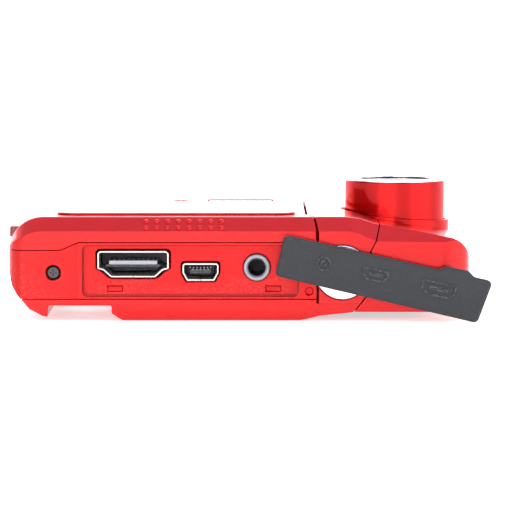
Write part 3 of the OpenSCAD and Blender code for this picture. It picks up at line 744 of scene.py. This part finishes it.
def av_jack():
    box, bore = Box("av_jack"), 1.8
    centre = (box.mid.x, 0.9)
    front, flange_back, bottom = box.low.y, 3.2, 11.6
    profile = [(2.65, flange_back), (2.65, front + 0.25), (2.5, front + 0.06), (2.3, front),
               (2.12, front + 0.06), (bore + 0.08, front + 0.5), (bore, front + 0.75), (bore, bottom),
               (bore + 0.5, bottom), (bore + 0.5, flange_back)]
    turned_piece("av_jack", centre, profile, "y", closed=True, steps=96)
    bm = bmesh.new()
    outline = rounded(rectangle(box.low.x, box.high.x, box.low.z, box.high.z), 0.4, 4)
    slab(bm, outline, box.high.y - 1.1, box.high.y, 0.2, "y")
    for side in (-1, 1):
        u = centre[0] + side * 2.7
        brick(bm, (u - 0.4, flange_back - 0.1, box.low.z), (u + 0.4, box.high.y - 1.0, box.high.z), 0.15,
              "y")
    for low, high in ((box.low.z, box.low.z + 0.7), (box.high.z - 0.7, box.high.z)):
        brick(bm, (centre[0] - 2.4, flange_back - 0.1, low), (centre[0] + 2.4, box.high.y - 1.0, high),
              0.12, "y")
    turned(bm, centre, [(bore - 0.1, front + 0.62), (bore - 0.02, front + 0.56), (bore - 0.02, bottom),
                        (bore - 0.1, bottom)], "y", closed=True, steps=64)
    detail("av_jack_body", bm, "av_jack", "port_plastic")
    bm = bmesh.new()
    for angle, depth in ((90, 1.4), (215, 5.0), (325, 7.5)):
        a = math.radians(angle)
        u, v = centre[0] + (bore - 0.12) * math.cos(a), centre[1] + (bore - 0.12) * math.sin(a)
        brick(bm, (u - 0.3, front + depth, v - 0.16), (u + 0.3, front + depth + 1.3, v + 0.16), 0.1, "y")
    detail("av_jack_springs", bm, "av_jack", "blade_grey")


def tripod_socket():
    """Flange with a lead-in, and a cut thread of 20 turns to the inch in the bush."""
    box = Box("tripod_socket")
    flange, bush, minor, major, pitch = box.half.x, 4.2, 2.55, 3.0, 25.4 / 20
    mouth, end, depth = box.low.y, box.high.y, 5.5
    bm = bmesh.new()
    profile = [(major, mouth + 0.45), (major + 0.35, mouth + 0.04), (flange - 0.25, mouth),
               (flange, mouth + 0.2), (flange, 0.95), (bush, 1.0), (bush, end - 0.2), (bush - 0.2, end),
               (0.4, end), (0.4, depth + 0.1), (major, depth)]
    turned(bm, (0, 0), profile, "y", closed=True, steps=128)
    turned(bm, (0, 0), [(0.5, depth + 0.12), (0.5, end - 0.01)], "y", steps=32)
    piece(bm, "tripod_socket")
    bm = bmesh.new()
    lining = [(major - 0.08, mouth + 0.5), (major - 0.01, mouth + 0.5), (major - 0.01, depth - 0.02),
              (major - 0.08, depth - 0.02)]
    turned(bm, (0, 0), lining, "y", closed=True, steps=96)
    turned(bm, (0, 0), [(major - 0.02, depth - 0.1), (major - 0.02, depth - 0.03)], "y", steps=96)
    turns, per_turn = 3.7, 64
    count = int(turns * per_turn)
    section = [(major + 0.02, -0.42), (minor, -0.10), (minor, 0.10), (major + 0.02, 0.42)]
    rings = []
    for i in range(count + 1):
        a = 2 * math.pi * i / per_turn
        fade = min(1.0, i / 20, (count - i) / 20)
        y = mouth + 0.55 + pitch * i / per_turn
        rings.append([((major + 0.02 + (r - major - 0.02) * fade) * math.cos(a), y + h,
                       (major + 0.02 + (r - major - 0.02) * fade) * math.sin(a)) for r, h in section])
    skin(bm, rings)
    detail("tripod_thread", bm, "tripod_socket", "dark_screw")


def cross_ring(centre, arm, half_width):
    """The mouth of a cross recess, as a ring with as many points as the head's edge."""
    points, steps = [], 96
    for i in range(steps):
        a = 2 * math.pi * i / steps
        local = (a + math.pi / 4) % (math.pi / 2) - math.pi / 4
        across_arm = abs(math.tan(local)) * arm <= half_width
        r = arm / math.cos(local) if across_arm else half_width / abs(math.sin(local))
        points.append((centre[0] + r * math.cos(a), centre[1] + r * math.sin(a)))
    return points


def casing_screws():
    """Two pan-head screws with tapered cross recesses."""
    bm = bmesh.new()
    for x, z, radius, head, end in ((-59.1, -0.1, 1.35, 0.8, 4.5), (18.5, -1.0, 1.25, 0.7, 5.0)):
        centre = (x, z)
        rings = [circle(centre, r) for r in (radius * 0.6, radius * 0.6, radius, radius, radius * 0.94,
                                             radius * 0.8)]
        heights = [end, head + 1.2, head + 1.1, head + 0.3, head + 0.12, head]
        rings += [cross_ring(centre, radius * 0.5, 0.16), cross_ring(centre, radius * 0.4, 0.12)]
        heights += [head + 0.01, head + 0.3]
        skin(bm, [[spot(u, v, h, "y") for u, v in ring] for ring, h in zip(rings, heights)])
    piece(bm, "casing_screws", sharp=30)


# ---------------------------------------------------------------- the open cover


def port_cover():
    """Moulded cover: eased slab, ribs and hooks behind, and a raised outline of each socket in front."""
    box = Box("port_cover")
    tether = Box("port_cover_tether").mid
    tilt = math.radians(COVER_TILT)
    front, back = box.low.y, -1.5
    pivot = (tether.x, tether.z)

    def turned_to(points):
        c, s = math.cos(-tilt), math.sin(-tilt)
        return [(pivot[0] + u * c - v * s, pivot[1] + u * s + v * c) for u, v in points]

    outline = [(-2.0, 5.5), (30.2, 5.6), (31.6, 6.55), (36.2, 6.6), (37.6, 5.65), (41.5, 5.65),
               (40.3, -3.4), (-2.1, -3.1)]
    outline = counter_clockwise(rounded(turned_to(outline), 1.2, 6))
    bm = bmesh.new()
    profile = [(0.62, front + 0.18), (0.46, front + 0.2), (0.33, front + 0.26), (0.25, front + 0.42),
               (0.12, front + 0.48), (0.02, front + 0.56), (0.0, front + 0.75), (0.0, back - 0.12),
               (0.12, back), (1.1, back), (1.25, back - 0.25)]
    loft(bm, outline, profile, "y")
    turned(bm, pivot, [(1.7, back - 0.26), (1.7, back + 0.42), (1.6, back + 0.5), (1.0, back + 0.5),
                       (1.0, back - 0.26)], "y", closed=True, steps=64)
    for u in (2.6, 35.0):
        hook = turned_to(rounded(rectangle(u, u + 2.6, 4.75, 5.3), 0.12, 3))
        loft(bm, hook, [(0.0, back - 0.2), (0.0, back + 0.7), (0.1, back + 0.85), (0.16, back + 0.9)],
             "y")
    for v in (-0.9, 3.2):
        rib = turned_to(rounded(rectangle(4.0, 37.0, v - 0.2, v + 0.2), 0.15, 3))
        loft(bm, rib, [(0.0, back - 0.26), (0.0, back - 0.05), (0.06, back - 0.01)], "y")
    hdmi = turned_to(rounded([(27.6, 2.9), (34.4, 2.9), (34.4, 1.4), (33.2, 0.3), (28.8, 0.3),
                              (27.6, 1.4)], 0.35, 4))
    usb = turned_to(rounded([(15.3, 2.7), (20.3, 2.7), (20.3, 1.7), (19.5, 0.6), (16.1, 0.6),
                             (15.3, 1.7)], 0.3, 4))
    jack = turned_to(circle((7.0, 1.6), 1.35, 40))
    dot = turned_to(circle((7.0, 1.6), 0.45, 24))
    tongues = [turned_to(rounded(rectangle(29.2, 32.8, 1.45, 1.85), 0.15, 3)),
               turned_to(rounded(rectangle(16.6, 19.0, 1.55, 1.9), 0.12, 3))]
    for shape in (hdmi, usb, jack, dot, *tongues):
        bead(bm, counter_clockwise(shape), front + 0.2, -0.26, 0.46, "y")
    piece(bm, "port_cover")


# ---------------------------------------------------------------- buttons and dials


def shutter_button():
    box = Box("shutter_button")
    centre = (box.mid.x, box.mid.z)
    top = box.high.y
    profile = [(1.4, box.low.y), (1.4, 57.45), (3.2, 57.45), (3.2, top - 0.4), (3.05, top - 0.14),
               (2.75, top - 0.02), (2.5, top), (1.8, top - 0.12), (1.0, top - 0.2), (0.4, top - 0.22)]
    turned_piece("shutter_button", centre, profile, "y", steps=96)


def zoom_lever():
    """Knurled ring around the shutter button, with a ribbed finger tab towards the front."""
    box = Box("zoom_lever")
    shutter = Box("shutter_button")
    x, z = shutter.mid.x, shutter.mid.z
    low, high, ring = 58.15, box.high.y, 5.2
    bm = bmesh.new()
    steps = 192
    inner = 3.35

    def knurled(radius, depth):
        """A ring with two points out of every four set in by a depth."""
        radii = [radius - depth * (i % 4 < 2) for i in range(steps)]
        angles = [2 * math.pi * i / steps for i in range(steps)]
        return [(x + r * math.cos(a), z + r * math.sin(a)) for r, a in zip(radii, angles)]

    stack = [(circle((x, z), inner, steps), box.low.y), (circle((x, z), 4.0, steps), box.low.y),
             (circle((x, z), 4.0, steps), low), (knurled(ring - 0.2, 0.0), low),
             (knurled(ring, 0.14), low + 0.2), (knurled(ring, 0.14), high - 0.35),
             (knurled(ring - 0.12, 0.06), high - 0.12), (circle((x, z), ring - 0.35, steps), high),
             (circle((x, z), inner + 0.25, steps), high), (circle((x, z), inner, steps), high - 0.2)]
    skin(bm, [[spot(u, v, h, "y") for u, v in ring_points] for ring_points, h in stack], closed=True)
    tab = rounded([(x - 1.1, z + 4.2), (x + 1.1, z + 4.2), (x + 0.8, box.high.z), (x - 0.8, box.high.z)],
                  0.4, 4)
    slab(bm, tab, low, high, 0.25, "y")
    for i in range(3):
        v = z + 5.1 + 0.55 * i
        brick(bm, (x - 0.65, high - 0.05, v - 0.12), (x + 0.65, high + 0.02, v + 0.12), 0.02, "y")
    piece(bm, "zoom_lever", sharp=32)


def power_button():
    """A cap with a rounded shoulder, a shallow dish and a raised ring, on a round stem."""
    box = Box("power_button")
    centre = (box.mid.x, box.mid.z)
    base, top, crown, dish = 57.0, box.high.y, 0.25, 0.1
    outline = rounded(rectangle(box.low.x, box.high.x, box.low.z, box.high.z), 0.9, 6)
    profile = [(0.0, base), (0.0, top - crown), (crown * 0.3, top - crown * 0.3), (crown, top),
               (crown + 0.25, top), (crown + 0.6, top - dish * 0.6), (crown + 1.2, top - dish)]
    bm = bmesh.new()
    loft(bm, outline, profile, "y")
    turned(bm, centre, [(1.2, box.low.y), (1.2, 57.1)], "y", steps=40)
    bead(bm, circle(centre, 0.75, 36), top - 0.12, 0.08, 0.2, "y")
    piece(bm, "power_button")


def rear_button(node, icon):
    """A small round key in the control strip, with a raised generic sign."""
    box = Box(node)
    centre = (box.mid.x, box.mid.y)
    flange = box.half.x
    cap = flange - 0.6
    top = box.low.z
    bm = bmesh.new()
    profile = [(flange, box.high.z), (flange, box.high.z - 0.35), (cap, box.high.z - 0.36),
               (cap, top + 0.3), (cap - 0.1, top + 0.08), (cap - 0.3, top), (cap - 0.7, top + 0.06),
               (0.3, top + 0.08)]
    turned(bm, centre, profile, steps=72)
    for shape in icon(centre):
        bead(bm, counter_clockwise(shape), top + 0.09, -0.07, 0.16)
    piece(bm, node)


def dot_icon(c):
    return [circle(c, 0.75, 32)]


def triangle_icon(c):
    return [rounded([(c[0] - 0.5, c[1] - 0.65), (c[0] + 0.65, c[1]), (c[0] - 0.5, c[1] + 0.65)], 0.1, 3)]


def bars_icon(c):
    return [rounded(rectangle(c[0] - 0.75, c[0] + 0.75, c[1] + v - 0.1, c[1] + v + 0.1), 0.08, 3)
            for v in (-0.5, 0.0, 0.5)]


def bin_icon(c):
    return [rounded([(c[0] - 0.4, c[1] - 0.6), (c[0] + 0.4, c[1] - 0.6), (c[0] + 0.52, c[1] + 0.4),
                     (c[0] - 0.52, c[1] + 0.4)], 0.08, 3)]


def control_pad():
    """Four-way ring with a tick at each direction, around the centre key."""
    box = Box("control_pad")
    centre = (box.mid.x, box.mid.y)
    flange, top = box.half.x, box.low.z
    rim = flange - 0.6
    bm = bmesh.new()
    profile = [(2.7, box.high.z), (flange, box.high.z), (flange, box.high.z - 0.35),
               (rim, box.high.z - 0.36), (rim, top + 0.45), (rim - 0.1, top + 0.12), (rim - 0.4, top),
               (rim - 1.0, top + 0.1), (3.6, top + 0.26), (3.0, top + 0.3), (2.75, top + 0.42),
               (2.7, top + 0.6)]
    turned(bm, centre, profile, closed=True, steps=120)
    for quarter in range(4):
        a = math.pi / 2 * quarter
        u, v = centre[0] + 4.5 * math.cos(a), centre[1] + 4.5 * math.sin(a)
        tick = [(u + 0.35 * math.cos(a), v + 0.35 * math.sin(a)),
                (u - 0.2 * math.cos(a) - 0.35 * math.sin(a), v - 0.2 * math.sin(a) + 0.35 * math.cos(a)),
                (u - 0.2 * math.cos(a) + 0.35 * math.sin(a), v - 0.2 * math.sin(a) - 0.35 * math.cos(a))]
        bead(bm, counter_clockwise(tick), top + 0.16, -0.12, 0.14)
    piece(bm, "control_pad")
    box = Box("ok_button")
    top = box.low.z
    turned_piece("ok_button", centre, [(2.6, box.high.z), (2.6, top + 0.3), (2.5, top + 0.08),
                                       (2.25, top), (1.4, top + 0.1), (0.3, top + 0.12)], steps=96)


# ---------------------------------------------------------------- front details


def flash():
    """Flash window with fine prisms moulded behind it, over a bright trough with its tube."""
    box = Box("flash_window")
    outline = rounded(rectangle(box.low.x, box.high.x, box.low.y, box.high.y), 0.8, 5)
    bm = bmesh.new()
    slab(bm, outline, box.low.z + 0.22, box.high.z, 0.12)
    count = 22
    step = (2 * box.half.x - 1.6) / count
    for i in range(count):
        x = box.low.x + 0.8 + step * (i + 0.5)
        ridge = [(x - step * 0.48, box.low.z + 0.24), (x, box.low.z), (x + step * 0.48, box.low.z + 0.24)]
        skin(bm, [[(u, y, w) for u, w in ridge] for y in (box.low.y + 0.6, box.high.y - 0.6)])
    piece(bm, "flash_window")
    eased("flash_reflector", 0.12)
    tube = Box("flash_tube")
    centre = (tube.mid.y, tube.mid.z)
    low, high, r = tube.low.x, tube.high.x, tube.half.y
    turned_piece("flash_tube", centre, [(r * 0.35, low), (r * 0.8, low + 0.1), (r, low + 0.4),
                                        (r, high - 0.4), (r * 0.8, high - 0.1), (r * 0.35, high)], "x",
                 steps=40)
    bm = bmesh.new()
    for a, b in ((low + 0.2, low + 1.7), (high - 1.7, high - 0.2)):
        turned(bm, centre, [(r * 0.3, a), (r * 0.55, a + 0.2), (r * 0.55, b - 0.2), (r * 0.3, b)], "x",
               steps=24)
    detail("flash_electrodes", bm, "flash_tube", "pin_steel")


def focus_lamp():
    box = Box("af_lamp")
    r, top = box.half.x, box.high.z
    profile = [(r, box.low.z), (r, top - 0.3)] + [(r * math.cos(a), top - 0.3 + 0.3 * math.sin(a))
                                                  for a in [math.radians(15 * k) for k in range(1, 6)]]
    turned_piece("af_lamp", (box.mid.x, box.mid.y), profile, steps=64)


def microphone():
    box = Box("microphone")
    centre, r = (box.mid.x, box.mid.z), box.half.x
    turned_piece("microphone", centre, [(r - 0.2, box.low.y), (r, box.low.y + 0.15),
                                        (r, box.high.y - 0.2), (r - 0.15, box.high.y - 0.05),
                                        (r - 0.5, box.high.y), (0.6, box.high.y),
                                        (0.45, box.high.y - 0.3)], "y", steps=72)


# ---------------------------------------------------------------- inside parts


def board(node, thickness, chips, axis=2):
    """A circuit board with chips and their pins, all inside its CAD box."""
    box = Box(node)
    low, high, plate_high = box.low, box.high, list(box.high)
    plate_high[axis] = low[axis] + thickness
    letter = "xyz"[axis]
    bm = bmesh.new()
    brick(bm, low, plate_high, 0.06, letter)
    piece(bm, node)
    u, v = [i for i in range(3) if i != axis]
    face = plate_high[axis]
    space = high[axis] - face
    dark, bright = bmesh.new(), bmesh.new()
    for i in range(chips):
        share = (i * GOLDEN) % 1
        cu = low[u] + (high[u] - low[u]) * (0.12 + 0.76 * (i + 0.5) / chips)
        cv = low[v] + (high[v] - low[v]) * (0.18 + 0.64 * share)
        du = min(1.6 + 1.8 * ((i * SILVER) % 1), 0.09 * (high[u] - low[u]) + 0.6)
        dv = min(1.2 + 1.4 * share, 0.12 * (high[v] - low[v]) + 0.5)
        ends = sorted((face, face + space * 0.98))
        a, b = [0.0] * 3, [0.0] * 3
        a[u], a[v], a[axis] = cu - du, cv - dv, ends[0]
        b[u], b[v], b[axis] = cu + du, cv + dv, ends[1]
        brick(dark, a, b, 0.06, letter)
        for k in range(5):
            for side in (-1, 1):
                pin = cu - du * 0.8 + du * 0.4 * k
                a[u], b[u] = pin - 0.1, pin + 0.1
                a[v], b[v] = sorted((cv + side * dv * 0.98, cv + side * (dv + 0.35)))
                a[axis], b[axis] = sorted((face, face + space * 0.4))
                brick(bright, a, b, 0.02, letter)
    detail(node + "_chips", dark, node, "frame_black")
    detail(node + "_pins", bright, node, "tin_shield")


def battery():
    box = Box("battery")
    bm = bmesh.new()
    outline = rounded(rectangle(box.low.y, box.high.y, box.low.z, box.high.z), 0.9, 6)
    slab(bm, outline, box.low.x, box.high.x, 0.3, "x")
    piece(bm, "battery")
    bm = bmesh.new()
    for y in CONTACT_ROWS:
        brick(bm, (box.high.x - 0.1, y - 0.9, 1.5), (box.high.x + 0.02, y + 0.9, 3.5), 0.03, "x")
    detail("battery_pads", bm, "battery", "gold_contact")


def memory_card():
    box = Box("memory_card")
    cut = 3.9
    outline = [(box.low.x, box.low.y), (box.high.x - cut, box.low.y), (box.high.x, box.low.y + cut),
               (box.high.x, box.high.y), (box.low.x, box.high.y)]
    bm = bmesh.new()
    loft(bm, rounded(outline, 0.6, 4), [(0.45, box.low.z), (0.4, box.low.z + 0.1),
                                        (0.4, box.low.z + 0.55), (0.1, box.low.z + 0.62),
                                        (0.0, box.low.z + 0.72), (0.0, box.high.z - 0.1),
                                        (0.1, box.high.z)])
    piece(bm, "memory_card")
    bm = bmesh.new()
    for i in range(9):
        y = box.low.y + 3.6 + 2.2 * i
        brick(bm, (box.high.x - 4.8, y - 0.7, box.high.z - 0.05),
              (box.high.x - 0.9, y + 0.7, box.high.z + 0.01), 0.02)
    detail("memory_card_contacts", bm, "memory_card", "gold_contact")


def capacitor():
    box = Box("flash_capacitor")
    centre, r = (box.mid.y, box.mid.z), box.half.y
    low, high = box.low.x, box.high.x
    turned_piece("flash_capacitor", centre, [(r - 0.5, low), (r - 0.1, low + 0.15), (r, low + 0.5),
                                             (r, low + 1.6), (r - 0.22, low + 1.9), (r - 0.22, low + 2.1),
                                             (r, low + 2.4), (r, high - 0.9), (r - 0.15, high - 0.6),
                                             (r - 0.5, high - 0.5), (r - 0.6, high)], "x", steps=80)


def contacts():
    """Sprung battery contacts: bent strips whose noses face the battery."""
    box = Box("battery_contacts")
    bm = bmesh.new()
    for y in CONTACT_ROWS:
        line = [(box.high.x, box.low.z), (box.high.x, box.high.z), (box.high.x - 0.2, box.high.z),
                (box.high.x - 0.3, 2.9), (box.low.x, 2.5), (box.high.x - 0.3, 2.1),
                (box.high.x - 0.2, box.low.z)]
        skin(bm, [[(u, v, w) for u, w in rounded(line, 0.15, 3)] for v in (y - 0.7, y + 0.7)])
    piece(bm, "battery_contacts")


def grille():
    """Domed bumps over the speaker, in two rows on the bevel."""
    slope = (BEVEL_HEAD - BEVEL_FOOT) / BEVEL_RUN
    up = Vector((0, -slope, 1)).normalized()
    across = Vector((0, up.z, -up.y))
    along = Vector((1, 0, 0))
    radius, height, levels, steps = 0.54, 0.46, 8, 28
    bm = bmesh.new()
    for row in range(2):
        for i in range(8):
            y = 0.75 + 1.35 * row
            foot = Vector((-40.1 + 2.2 * i, y, BEVEL_FOOT + slope * y))
            rings = []
            for k in range(levels):
                a = math.pi / 2 * k / (levels - 0.6)
                r = radius * math.cos(a)
                centre = foot + up * (height * math.sin(a) if k else -0.2)
                rings.append([centre + along * (r * math.cos(t)) + across * (r * math.sin(t))
                              for t in (2 * math.pi * j / steps for j in range(steps))])
            skin(bm, rings)
    detail("grille_bumps", bm, "front_cover", "red_paint")


def recess_shade_line():
    """A thin dark bead all the way round the recess's floor, painted shade for the shadow where the floor
    meets the walls.
    """
    bm = bmesh.new()
    outline = counter_clockwise(rounded(rectangle(*RECESS), 1.2, 6))
    profile = [(inset, RECESS_DEPTH - rise) for inset, rise in
               ((-0.02, 0.0), (0.0, 0.22), (0.06, 0.3), (0.2, 0.28), (0.26, 0.2), (0.28, 0.0))]
    loft(bm, outline, profile, "y", closed=True)
    # Painted shade: the dark catch red stands in for the shadow in the recess's corner.
    detail("recess_shade_line", bm, "port_frame", "catch_red")


# ---------------------------------------------------------------- putting the camera together


EASED = {
    "front_plate": 0.22, "lens_trim_ring": 0.18, "door_catch": 0.2, "display_window": 0.1,
"display_module": 0.1,
    "processor_shield": 0.1, "battery_bay": 0.1, "card_slot": 0.08, "lens_housing": 0.12,
"zoom_motor": 0.12,
    "image_sensor": 0.06, "barrier_blade_a": 0.05, "barrier_blade_b": 0.05, "door_pin": 0.08,
"port_cover_tether": 0.15,
    "strap_bar": 0.1, "speaker": 0.2, "battery_door": 0.22,
}


def build():
    build_finishes()
    for name, width in EASED.items():
        eased(name, width)
    eased("front_cover", 0.24, lip=0.5, steps=4)
    eased("centre_band", 0.24, lip=0.5, tight=SEAM_Z, steps=4)
    eased("end_cover", 0.24, lip=0.5, steps=4)
    eased("rear_cover", 0.24, angle=50, tight=SEAM_Z)
    eased("port_frame", 0.24)
    grille()
    recess_shade_line()
    barrel()
    inner_stage()
    lens_element("front_lens", 1.0, 0.12)
    lens_element("rear_lens", 0.5, 0.1)
    port_shell("hdmi_shell", hdmi_outline(), 0.35)
    port_shell("usb_shell", usb_outline(), 0.35)
    hdmi_tongue()
    usb_tongue()
    av_jack()
    tripod_socket()
    casing_screws()
    port_cover()
    shutter_button()
    zoom_lever()
    power_button()
    rear_button("record_button", dot_icon)
    rear_button("playback_button", triangle_icon)
    rear_button("menu_button", bars_icon)
    rear_button("delete_button", bin_icon)
    control_pad()
    flash()
    focus_lamp()
    microphone()
    board("main_board", 0.75, 7)
    board("port_board", 0.65, 5)
    board("sensor_board", 0.4, 4)
    board("keypad_board", 0.35, 4)
    board("switch_board", 0.55, 4, axis=1)
    battery()
    memory_card()
    capacitor()
    contacts()


# ---------------------------------------------------------------- surroundings


def floor():
    """A plain pale studio floor at the camera's resting plane."""
    low, _ = bounds_at_load
    bpy.ops.mesh.primitive_plane_add(size=6.0, location=(0, 0, low[2]))
    plane = bpy.context.object
    plane.name = "floor"
    g = surface("Pale floor", (0.86, 0.86, 0.85), 0.6, mottle=0.01, grain=(800, 0.01))
    g.shader.inputs["Emission Color"].default_value = (1, 1, 1, 1)
    g.shader.inputs["Emission Strength"].default_value = 0.54
    plane.data.materials.append(done(g))


def sky():
    """Soft surround: bright wall behind, bright horizon, bluish ceiling, darker front and side walls."""
    world = bpy.data.worlds.new("Studio")
    bpy.context.scene.world = world
    world.use_nodes = True
    tree = world.node_tree

    def add(kind, *links):
        node = tree.nodes.new("ShaderNode" + kind)
        for socket, value in zip(node.inputs, links):
            if isinstance(value, bpy.types.NodeSocket):
                tree.links.new(value, socket)
            else:
                socket.default_value = value
        return node

    def ramp(value, *stops):
        node = add("ValToRGB", value)
        elements = node.color_ramp.elements
        elements[0].position, elements[0].color = stops[0][0], (*stops[0][1], 1)
        elements[1].position, elements[1].color = stops[-1][0], (*stops[-1][1], 1)
        for position, colour in stops[1:-1]:
            elements.new(position).color = (*colour, 1)
        return node.outputs["Color"]

    way = add("SeparateXYZ", add("TexCoord").outputs["Generated"]).outputs
    height = ramp(way["Z"], (0.0, (0.42, 0.42, 0.42)), (0.035, (0.42, 0.42, 0.42)),
                  (0.075, (0.08, 0.08, 0.08)), (0.3, (0.07, 0.07, 0.08)), (0.62, (0.11, 0.12, 0.17)),
                  (0.85, (0.22, 0.27, 0.38)), (1.0, (0.26, 0.31, 0.44)))
    wall = ramp(way["Y"], (0.3, (0.0, 0.0, 0.0)), (0.62, (1.0, 1.0, 1.0)))
    total = add("MixRGB", 1.0, height, wall)
    total.blend_type = "ADD"
    backdrop = tree.nodes["Background"]
    tree.links.new(total.outputs[0], backdrop.inputs["Color"])
    backdrop.inputs["Strength"].default_value = 2.7


def softbox(name, place, target, size, power):
    light = bpy.data.lights.new(name, "AREA")
    light.shape = "RECTANGLE"
    light.size, light.size_y = size
    light.energy = power
    lamp = bpy.data.objects.new(name, light)
    lamp.location = place
    lamp.rotation_euler = (Vector(target) - Vector(place)).to_track_quat("-Z", "Y").to_euler()
    bpy.context.scene.collection.objects.link(lamp)


def viewpoint():
    """A long lens facing the bottom face, from a little above it."""
    target = Vector((-17.86, 0.0, 3.59)) * MM
    distance, rise = 0.65, math.radians(4.9)
    data = bpy.data.cameras.new("Camera")
    data.sensor_width = 36.0
    data.lens = 224.8
    data.clip_start, data.clip_end = 0.01, 20.0
    camera = bpy.data.objects.new("Camera", data)
    camera.location = target + distance * Vector((0, -math.cos(rise), math.sin(rise)))
    camera.rotation_euler = (target - camera.location).to_track_quat("-Z", "Y").to_euler()
    bpy.context.scene.collection.objects.link(camera)
    bpy.context.scene.camera = camera


def studio():
    floor()
    sky()
    centre = (-0.018, 0.02, 0.0)
    softbox("Left softbox", (-0.27, -0.76, 0.20), centre, (0.60, 0.42), 3.2)
    softbox("Overhead strip", (-0.02, -0.42, 0.50), centre, (1.10, 0.07), 1.3)
    softbox("Right softbox", (0.70, -0.34, 0.20), centre, (0.80, 0.42), 3.4)
    viewpoint()
    view = bpy.context.scene.view_settings
    view.view_transform = "Standard"
    view.look = "None"
    view.exposure = 0.0


build()
studio()
